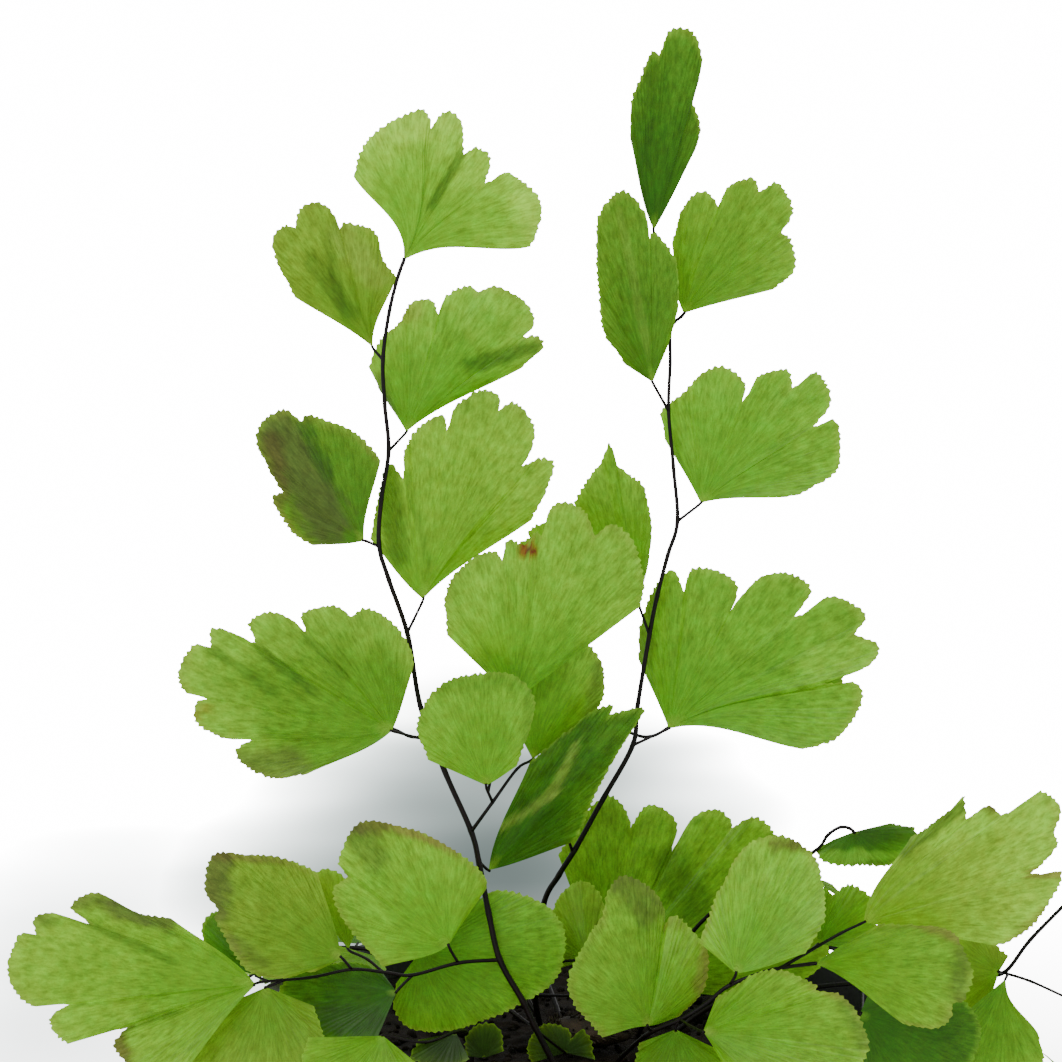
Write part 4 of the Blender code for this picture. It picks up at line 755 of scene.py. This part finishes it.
def stem_tube(path, foot_radius, tip_radius):
    """A stem's tube: a smooth curve with slight swellings where it bends at its joints."""
    curve = curve_through(path, lambda b, c: max(2, round((c - b).length / CURVE_STEP)))
    count = len(curve) - 1
    radii = []
    for k, (_, index) in enumerate(curve):
        knuckle = max(0, 1 - abs(index - round(index)) * KNUCKLE_SHARPNESS)
        radii.append((foot_radius + (tip_radius - foot_radius) * k / count) * (1 + KNUCKLE_SWELL * knuckle))
    return tube([at for at, _ in curve], radii)


def joined(parts):
    """Several (points, faces) as one."""
    points, faces = [], []
    for more_points, more_faces in parts:
        start = len(points)
        points += more_points
        faces += [tuple(start + k for k in face) for face in more_faces]
    return points, faces


def to_leaf(path, bases):
    """Runs a stalk on into the foot of the leaf that it carries."""
    end = path[-1]
    near = min(bases, key=lambda base: (base - end).length)
    if (near - end).length < 3:
        return path + [near + (near - end).normalized() * 0.25]
    return path


class Look:
    """A node material being put together."""

    def __init__(self, name):
        self.material = bpy.data.materials.new(name)
        self.material.use_nodes = True
        self.tree = self.material.node_tree
        self.tree.nodes.clear()

    def add(self, kind, **values):
        """A new node; a value that is no setting of the node goes to its input of that name."""
        node = self.tree.nodes.new("ShaderNode" + kind)
        for key, value in values.items():
            if hasattr(node, key):
                setattr(node, key, value)
            else:
                node.inputs[key.replace("_", " ")].default_value = value
        return node

    def feed(self, socket, value):
        """Sets a socket to a number or a colour, or links it to another socket."""
        if isinstance(value, tuple):
            socket.default_value = (*value, 1)
        elif isinstance(value, (int, float)):
            socket.default_value = value
        else:
            self.tree.links.new(value, socket)

    def maths(self, operation, first, second):
        node = self.add("Math", operation=operation)
        self.feed(node.inputs[0], first)
        self.feed(node.inputs[1], second)
        return node.outputs[0]

    def fitted(self, value, low, high, to_low, to_high):
        """value moved from the range low to high into another range."""
        node = self.add("MapRange", From_Min=low, From_Max=high, To_Min=to_low, To_Max=to_high)
        self.feed(node.inputs["Value"], value)
        return node.outputs["Result"]

    def varied(self, grain, low, high):
        """A noise's middle range moved to low and high."""
        return self.fitted(grain, 0.3, 0.7, low, high)

    def mixed(self, share, first, second, mode="MIX"):
        node = self.add("Mix", data_type="RGBA", blend_type=mode)
        for k, value in ((0, share), (6, first), (7, second)):
            self.feed(node.inputs[k], value)
        return node.outputs[2]

    def noise(self, where, scale, detail, roughness):
        node = self.add("TexNoise", Scale=scale, Detail=detail, Roughness=roughness)
        self.feed(node.inputs["Vector"], where)
        return node.outputs["Fac"]

    def bumped(self, height, strength, distance, skin):
        relief = self.add("Bump", Strength=strength, Distance=distance)
        self.feed(relief.inputs["Height"], height)
        self.feed(skin.inputs["Normal"], relief.outputs[0])

    def finished(self, shader):
        out = self.add("OutputMaterial")
        self.feed(out.inputs["Surface"], shader.outputs[0])
        return self.material


def leaf_material(slot):
    """A thin living leaf: tint from its attribute, forked veins that fan from the base, mottling."""
    look = Look(slot + "_skin")
    tint = look.add("Attribute", attribute_name="tint").outputs["Color"]
    parts = look.add("SeparateXYZ")
    look.feed(parts.inputs[0], look.add("Attribute", attribute_name="fan").outputs["Vector"])
    angle, reach, seed = parts.outputs

    def streaks(turns, along, offset, detail):
        where = look.add("CombineXYZ")
        look.feed(where.inputs[0], look.maths("MULTIPLY", angle, turns))
        look.feed(where.inputs[1], look.maths("MULTIPLY", reach, along))
        look.feed(where.inputs[2], look.maths("ADD", seed, offset))
        return look.noise(where.outputs[0], 1.0, detail, 0.6)

    broad, fine, hair = (streaks(*streak) for streak in VEIN_STREAKS)
    outward = look.fitted(reach, *HAIR_VEINS_FROM_TO, 0.0, 1.0)
    veins = look.maths("ADD", fine, look.maths("MULTIPLY", look.maths("SUBTRACT", hair, 0.5), outward))
    place_in = look.add("TexCoord").outputs["Object"]
    mottle = look.noise(place_in, MOTTLE_SCALE, 4.0, 0.65)
    cells = look.noise(place_in, CELL_SCALE, 2.0, 0.6)
    value = look.maths("MULTIPLY", look.fitted(veins, 0.25, 0.75, 0.71, 1.27), look.varied(broad, 0.90, 1.10))
    value = look.maths("MULTIPLY", value, look.varied(mottle, 0.87, 1.13))
    value = look.maths("MULTIPLY", value, look.varied(cells, 0.93, 1.07))
    hue = look.add("HueSaturation", Saturation=1.0)
    look.feed(hue.inputs["Hue"], look.varied(mottle, 0.490, 0.508))
    look.feed(hue.inputs["Value"], value)
    look.feed(hue.inputs["Color"], tint)
    colour = hue.outputs["Color"]
    skin = look.add("BsdfPrincipled", Specular_IOR_Level=0.35)
    look.feed(skin.inputs["Base Color"], colour)
    look.feed(skin.inputs["Roughness"], look.varied(cells, LEAF_ROUGHNESS - 0.06, LEAF_ROUGHNESS + 0.10))
    look.bumped(look.maths("ADD", veins, look.maths("MULTIPLY", cells, 0.3)), 0.35, 0.00012, skin)
    through = look.add("BsdfTranslucent")
    look.feed(through.inputs["Color"], look.mixed(1.0, colour, THROUGH_LIGHT, "MULTIPLY"))
    both = look.add("MixShader", Fac=LEAF_GLOW)
    look.feed(both.inputs[1], skin.outputs[0])
    look.feed(both.inputs[2], through.outputs[0])
    return look.finished(both)


def plain_material(name):
    """A mottled, finely bumpy material between two colours."""
    dark, light, grain, roughness, bump, gloss = PLAIN_LOOKS[name]
    look = Look(name)
    where = look.add("TexCoord").outputs["Object"]
    coarse = look.noise(where, grain, 5.0, 0.62)
    fine = look.noise(where, grain * 7, 3.0, 0.6)
    skin = look.add("BsdfPrincipled", Specular_IOR_Level=gloss)
    tone = look.add("HueSaturation")
    look.feed(tone.inputs["Color"], look.mixed(look.fitted(coarse, 0.32, 0.68, 0.0, 1.0), dark, light))
    look.feed(tone.inputs["Value"], look.varied(fine, 0.82, 1.12))
    look.feed(skin.inputs["Base Color"], tone.outputs[0])
    look.feed(skin.inputs["Roughness"], look.varied(fine, roughness - 0.07, min(1, roughness + 0.1)))
    look.bumped(look.maths("ADD", coarse, fine), 0.5, bump, skin)
    return look.finished(skin)


def stands_for(piece, node):
    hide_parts(node)


def leaf_bases():
    """Where every front leaf's blade starts."""
    return [place(*base, depths[0]) for _, _, base, depths, _, _, _ in LEAVES]


def make_front_leaves(skins):
    for k, (name, tone, base, depths, belly, bends, margin) in enumerate(LEAVES):
        look = {**PLAIN, "tone": tone, **LOOKS.get(name, {}), "seed": 3.7 * k + 1}
        blade = Blade(base, bends, margin, front_put(depths, belly), look["seed"])
        colours = [tinted(blade, look, MARKS.get(name, ()))]
        piece = blades_object("blade_" + name, [blade], colours, skins[tone])
        stands_for(piece, "leaf_" + name)


def stem_parts(root, radii, path, branches, bases):
    """The tubes of a stem: its main run from just under the soil, its branches and its leaf stalks."""
    foot = Vector((*root, soil_height(*root)))
    points = [place(*point) for point in path]
    under = foot - (points[0] - foot).normalized() * STEM_DEPTH
    parts = [stem_tube(to_leaf([under, foot] + points, bases), *radii)]
    for branch in branches:
        points = to_leaf([place(*point) for point in branch], bases)
        parts.append(stem_tube(points, BRANCH_RADIUS if len(branch) > 3 else STALK_RADIUS, TIP_RADIUS))
    return parts


def make_stems(look):
    bases = leaf_bases()
    for name, root, radii, path, branches in STEMS:
        piece = mesh_object("wire_" + name, *joined(stem_parts(root, radii, path, branches, bases)), look)
        stands_for(piece, name)


def fan_leaf(draw, heading, reach, lobes=4):
    """The margin of a fan-shaped leaf with notched lobes, its base at (0, 0) and heading in degrees."""
    points = []
    widths = [draw.uniform(0.8, 1.2) for _ in range(lobes)]
    edges = [sum(widths[:k]) / sum(widths) for k in range(lobes + 1)]

    def at(share, length, cut=False):
        angle = math.radians(heading + FAN_SPREAD * (0.5 - share))
        point = (length * math.cos(angle), length * math.sin(angle))
        return (*point, CUT) if cut else point

    for k, (start, end) in enumerate(zip(edges, edges[1:])):
        full = reach * draw.uniform(0.95, 1.03) * (1 - 0.10 * abs(start + end - 1))
        if k:
            points.append(at(start, reach * draw.uniform(0.72, 0.84), True))
        else:
            points.append(at(start, full * FAN_SIDE))
        for share, bulge in ((0.12, 0.95), (0.5, 1.0), (0.88, 0.95)):
            points.append(at(start + (end - start) * share, full * bulge))
    points.append(at(1.0, reach * FAN_SIDE))
    return points


def frond_pieces(name, leaves, parts, skin, stem_look):
    """A whole frond's two pieces, from its (blade, look) pairs and its stem's tubes."""
    blades = [blade for blade, _ in leaves]
    colours = [tinted(blade, look, ()) for blade, look in leaves]
    stands_for(blades_object("blades_" + name, blades, colours, skin), name)
    stands_for(mesh_object("wire_" + name, *joined(parts), stem_look), name)


def make_back_frond(skin, stem_look):
    """The tall frond behind the others."""
    draw = random.Random(21)
    name, root, radii, path, branches = BACK_STEM
    leaves = []
    for k, (across, up, depth, heading, reach) in enumerate(BACK_LEAVES):
        margin = [(x + across, z + up, *cut) for x, z, *cut in fan_leaf(draw, heading, reach)]
        look = {**PLAIN, "tone": draw.choice(("mid", "bright", "dusk")), "brown": 0.5, "seed": 200 + k}
        put = front_put((depth, depth - BACK_LEAN, depth + BACK_LEAN), BACK_BELLY)
        leaves.append((Blade((across, up), (0, 0), margin, put, look["seed"]), look))
    bases = [blade.points[0] for blade, _ in leaves]
    frond_pieces(name, leaves, stem_parts(root, radii, path, branches, bases), skin, stem_look)


def low_path(azimuth, height, reach):
    """The arching stem of a low frond, outward from the middle of the pot."""
    out = Vector((math.cos(math.radians(azimuth)), math.sin(math.radians(azimuth)), 0))
    level = Vector((0, 0, SOIL_EDGE_Z))
    path = []
    for share in LOW_SHARES:
        radius = LOW_FOOT + (reach - LOW_FOOT) * share
        rise = height * LOW_ARCH * math.sin(math.pi * LOW_ARCH_SPAN * share) + LOW_START * (1 - share)
        path.append(level + out * radius + Vector((0, 0, rise - LOW_DROOP * share**3)))
    path[0].z = soil_height(path[0].x, path[0].y) - 1
    return path


def make_low_frond(name, azimuth, height, reach, first_leaf, last_leaf, skin, stem_look):
    """A low frond that arches over the rim, with leaves alternately left and right."""
    draw = random.Random(azimuth)
    path = low_path(azimuth, height, reach)
    parts = [stem_tube(path, *LOW_RADII)]
    leaves = []
    for order, k in enumerate(LOW_LEAVES):
        along = (path[min(k + 1, len(path) - 1)] - path[k - 1]).normalized()
        side = along.cross(Vector((0, 0, 1))).normalized() * (1 if order % 2 else -1)
        last = k == len(path) - 1
        towards = along if last else (along * LOW_LEAF_SLANT + side).normalized()
        square = towards.cross(along.cross(side)).normalized()
        start = path[k] - towards * 0.1
        end = path[k] + towards * LOW_STALK
        parts.append(stem_tube([start, (start + end) / 2, end + towards * 0.4], STALK_RADIUS, LOW_TIP_RADIUS))
        face = square.cross(towards).normalized()

        def put(flat, share, t, lift, end=end, square=square, towards=towards, face=face):
            return end + square * flat.x + towards * flat.y + face * lift

        leaf_reach = first_leaf + (last_leaf - first_leaf) * order / (len(LOW_LEAVES) - 1)
        margin = fan_leaf(draw, 90, leaf_reach, lobes=draw.choice((3, 4, 5)))
        look = {**PLAIN, "tone": draw.choice(("mid", "bright", "pale")), "brown": 0.5,
                "seed": azimuth + 7.3 * order}
        leaves.append((Blade((0, 0), (0, 0), margin, put, look["seed"]), look))
    frond_pieces(name, leaves, parts, skin, stem_look)


def wall(z):
    """The pot's outer radius at height z."""
    return POT_BASE_RADIUS + (POT_TOP_RADIUS - POT_BASE_RADIUS) * z / POT_HEIGHT


def pot_profile():
    """(radius, z) from the middle of the foot, up the outside, over the rim and down to the floor."""
    foot = POT_HEIGHT - POT_RIM_HEIGHT
    inside = POT_TOP_RADIUS - POT_WALL
    profile = [(0, 0), (POT_BASE_RADIUS - 1.5, 0), (POT_BASE_RADIUS - 0.6, 0.25), (wall(1.2), 1.2)]
    profile += [(wall(z), z) for z in (3, 10, 20, 30, 40, 50, 60, foot - 1.2)]
    profile += [(wall(foot) + 0.15, foot - 0.35), (POT_RIM_RADIUS - 0.5, foot + 0.05)]
    profile += [(POT_RIM_RADIUS, foot + 0.6), (POT_RIM_RADIUS, POT_HEIGHT - RIM_ROUND)]
    profile += [(POT_RIM_RADIUS - 0.25, POT_HEIGHT - 0.25), (POT_RIM_RADIUS - RIM_ROUND, POT_HEIGHT)]
    profile += [(inside + RIM_ROUND, POT_HEIGHT), (inside + 0.2, POT_HEIGHT - 0.25)]
    profile += [(inside, POT_HEIGHT - RIM_ROUND)]
    profile += [(wall(z) - POT_WALL, z) for z in (60, 40, 20, POT_WALL + 0.8)]
    return profile + [(wall(POT_WALL) - POT_WALL - 0.9, POT_WALL), (0, POT_WALL)]


def make_pot(look):
    """The pot's smooth outside and inside, its rim rounded, with its drain holes."""
    pot = mesh_object("pot_shell", *revolved(pot_profile(), POT_SEGMENTS), look)
    for k in range(DRAIN_HOLES):
        turn = 2 * math.pi * k / DRAIN_HOLES
        bottom = Vector((DRAIN_CIRCLE * math.cos(turn), DRAIN_CIRCLE * math.sin(turn), -2))
        top = bottom + Vector((0, 0, 6))
        drill = mesh_object("drill", *tube([bottom, top], [DRAIN_RADIUS] * 2, 32), look)
        step = pot.modifiers.new("hole", "BOOLEAN")
        step.operation = "DIFFERENCE"
        step.solver = "EXACT"
        step.object = drill
        result = bpy.data.meshes.new_from_object(pot.evaluated_get(bpy.context.evaluated_depsgraph_get()))
        pot.modifiers.clear()
        pot.data = result
        bpy.data.objects.remove(drill)
    stands_for(pot, "pot")


def revolved(profile, segments):
    """Points and faces of a (radius, z) profile turned about Z; a radius of 0 is one point."""
    points, rings, faces = [], [], []
    for radius, z in profile:
        if radius == 0:
            rings.append([len(points)] * segments)
            points.append((0, 0, z))
            continue
        rings.append(list(range(len(points), len(points) + segments)))
        for n in range(segments):
            turn = 2 * math.pi * n / segments
            points.append((radius * math.cos(turn), radius * math.sin(turn), z))
    for low, high in zip(rings, rings[1:]):
        for n in range(segments):
            m = (n + 1) % segments
            corners = [low[n], low[m], high[m], high[n]]
            corners = [c for k, c in enumerate(corners) if c != corners[k - 1]]
            if len(corners) > 2:
                faces.append(tuple(corners))
    return points, faces


def ball(detail):
    """Points and faces of a ball of radius 1."""
    mesh = bmesh.new()
    bmesh.ops.create_icosphere(mesh, subdivisions=detail, radius=1)
    points = [vert.co.copy() for vert in mesh.verts]
    faces = [tuple(vert.index for vert in face.verts) for face in mesh.faces]
    mesh.free()
    return points, faces


def lump(draw, centre, size):
    """Points and faces of a small rough crumb."""
    points, faces = ball(1)
    half = [size * draw.uniform(0.6, 1.2) for _ in range(3)]
    angle = draw.uniform(0, 6.28)
    axis = Vector((draw.random(), draw.random(), draw.random() + 0.01))
    turn = Matrix.Rotation(angle, 3, axis)
    shift = draw.uniform(0, 50)
    shaped = []
    for point in points:
        swell = 1 + 0.35 * rough(point.x + shift, point.y, point.z, 1.3)
        shaped.append(centre + turn @ Vector([c * h * swell for c, h in zip(point, half)]))
    return shaped, faces


def make_soil(look):
    """A plug of dark compost with a crumbly top."""
    draw = random.Random(5)
    edge = wall(SOIL_EDGE_Z) - POT_WALL - 0.15
    foot = POT_WALL + 0.2
    rings = [(0, foot), (POT_BASE_RADIUS - POT_WALL - 0.4, foot), (edge - 0.1, SOIL_EDGE_Z - 2)]
    rings += [(edge * k / SOIL_RINGS, SOIL_EDGE_Z) for k in range(SOIL_RINGS, 0, -1)] + [(0, SOIL_EDGE_Z)]
    points, faces = revolved(rings, SOIL_SEGMENTS)
    top = []
    for x, y, z in points:
        if z >= SOIL_EDGE_Z - 0.01:
            clod = 0.7 * rough(x, y, 2.0, 0.35) + 0.35 * rough(x, y, 5.0, 1.1) + 0.18 * rough(x, y, 9.0, 2.6)
            z = soil_height(x, y) - SOIL_SINK + clod
        top.append(Vector((x, y, z)))
    parts = [(top, faces)]
    for _ in range(SOIL_CRUMBS):
        far = edge * 0.97 * math.sqrt(draw.random())
        turn = draw.uniform(0, 2 * math.pi)
        x, y = far * math.cos(turn), far * math.sin(turn)
        size = 0.35 + 0.75 * draw.random() ** 3
        parts.append(lump(draw, Vector((x, y, soil_height(x, y) - 0.45 + 0.3 * draw.random())), size))
    stands_for(mesh_object("compost", *joined(parts), look), "soil")


def make_rhizome(look):
    """The short creeping stem on the soil, covered in small pointed scales."""
    draw = random.Random(8)
    x, y = RHIZOME_CENTRE
    centre = Vector((x, y, soil_height(0, 0) + RHIZOME_HALF[2] + 0.1))
    points, faces = ball(4)
    body = []
    for point in points:
        swell = 1 + 0.10 * rough(*point, 2.5) + 0.05 * rough(*point, 6.0)
        body.append(centre + Vector([c * h * swell for c, h in zip(point, RHIZOME_HALF)]))
    parts = [(body, faces)]
    for _ in range(RHIZOME_SCALES):
        turn, rise = draw.uniform(0, 2 * math.pi), draw.uniform(-0.3, 1)
        level = math.sqrt(1 - rise**2)
        out = Vector((math.cos(turn) * level, math.sin(turn) * level, rise))
        start = centre + Vector([c * h * 0.98 for c, h in zip(out, RHIZOME_HALF)])
        lean = (out + Vector((draw.uniform(0.2, 1.0), draw.uniform(-0.4, 0.4), 0))).normalized()
        parts.append(tube([start, start + lean * 0.4, start + lean * 0.9], [0.16, 0.11, 0.02], 5))
    stands_for(mesh_object("rootstock", *joined(parts), look), "rhizome")


def painted_shadow_falloff(look, where, centre, stretch, radius):
    """0 in the middle of a soft grey patch of painted shadow on the far ground, 1 outside it."""
    moved = look.add("Mapping")
    moved.inputs["Scale"].default_value = (stretch, 1, 1)
    look.feed(moved.inputs["Vector"], where)
    apart = look.add("VectorMath", operation="DISTANCE")
    look.feed(apart.inputs[0], moved.outputs[0])
    apart.inputs[1].default_value = (centre[0] * stretch, centre[1], 0)
    drift = look.varied(look.noise(where, 9.0, 2.0, 0.5), -0.03, 0.03)
    share = look.fitted(look.maths("ADD", apart.outputs["Value"], drift), 0.01, radius, 0.0, 1.0)
    return look.maths("POWER", share, 1.6)


def ground_material():
    """A pale matt floor that turns, for the camera, into a bright even ground farther out, dimmed there in
    two soft grey-blue patches of painted shadow.
    """
    look = Look("pale_ground")
    where = look.add("TexCoord").outputs["Object"]
    apart = look.add("VectorMath", operation="LENGTH")
    look.feed(apart.inputs[0], where)
    far = look.fitted(apart.outputs["Value"], *FLOOR_FADE, 0.0, 1.0)
    far = look.fitted(look.maths("POWER", far, 1.9), 0.0, 1.0, 0.03, 1.0)
    far = look.maths("MULTIPLY", far, look.add("LightPath").outputs["Is Camera Ray"])
    # Two soft patches of painted shadow on the far ground: a faint one to the left, a darker one behind the
    # plant.
    side = look.fitted(painted_shadow_falloff(look, where, (-0.095, 0.30), 3.0, 0.11), 0.0, 1.0, 0.72, 1.0)
    shade = look.maths("MULTIPLY", painted_shadow_falloff(look, where, (-0.014, 0.36), 3.3, 0.21), side)
    glow = look.maths("MULTIPLY", look.maths("POWER", GROUND_GLOW / SHADE_GLOW, shade), SHADE_GLOW)
    matt = look.add("BsdfDiffuse", Color=(*FLOOR, 1))
    bright = look.add("Emission")
    look.feed(bright.inputs["Color"], look.mixed(shade, SHADE_TINT, (1.0, 1.0, 1.0)))
    look.feed(bright.inputs["Strength"], glow)
    both = look.add("MixShader")
    for socket, value in zip(both.inputs, (far, matt.outputs[0], bright.outputs[0])):
        look.feed(socket, value)
    return look.finished(both)


def make_stage():
    """The floor: one wide round sheet."""
    mesh = bmesh.new()
    bmesh.ops.create_circle(mesh, cap_ends=True, segments=96, radius=6)
    data = bpy.data.meshes.new("ground")
    mesh.to_mesh(data)
    mesh.free()
    data.materials.append(ground_material())
    ground = bpy.data.objects.new("ground", data)
    bpy.context.scene.collection.objects.link(ground)


def make_light():
    """Soft, nearly even light: a pale sky, a broad lamp in front and above, and a weaker one behind."""
    world = bpy.data.worlds.new("sky")
    world.use_nodes = True
    sky = world.node_tree.nodes["Background"]
    sky.inputs["Color"].default_value = (*SKY, 1)
    sky.inputs["Strength"].default_value = SKY_STRENGTH
    bpy.context.scene.world = world
    for name, at, power in LAMPS:
        lamp = bpy.data.lights.new(name, "AREA")
        lamp.size = LAMP_SIZE
        lamp.energy = power
        holder = bpy.data.objects.new(name, lamp)
        holder.location = at
        holder.rotation_euler = (LAMP_AIM - Vector(at)).to_track_quat("-Z", "Y").to_euler()
        bpy.context.scene.collection.objects.link(holder)


def make_camera():
    """Looks at the fronds from the front, slightly from above."""
    lens = bpy.data.cameras.new("camera")
    lens.sensor_width = 36
    lens.lens = lens.sensor_width * SIGHT_DISTANCE / LAYOUT_WIDTH
    lens.clip_start = 0.01
    camera = bpy.data.objects.new("camera", lens)
    camera.location = EYE * MM
    camera.rotation_euler = (math.pi / 2 - SIGHT_TILT, 0, 0)
    bpy.context.scene.collection.objects.link(camera)
    bpy.context.scene.camera = camera


def main():
    skins = {tone: leaf_material("leaf_" + tone) for tone in TONES}
    stem_look = plain_material("stem_bark")
    make_camera()
    make_light()
    make_stage()
    make_pot(plain_material("pot_shell_plastic"))
    make_soil(plain_material("compost_crumbs"))
    make_rhizome(plain_material("rootstock_scales"))
    make_front_leaves(skins)
    make_stems(stem_look)
    make_back_frond(skins["mid"], stem_look)
    for frond in LOW_FRONDS:
        make_low_frond(*frond, skins["mid"], stem_look)


main()
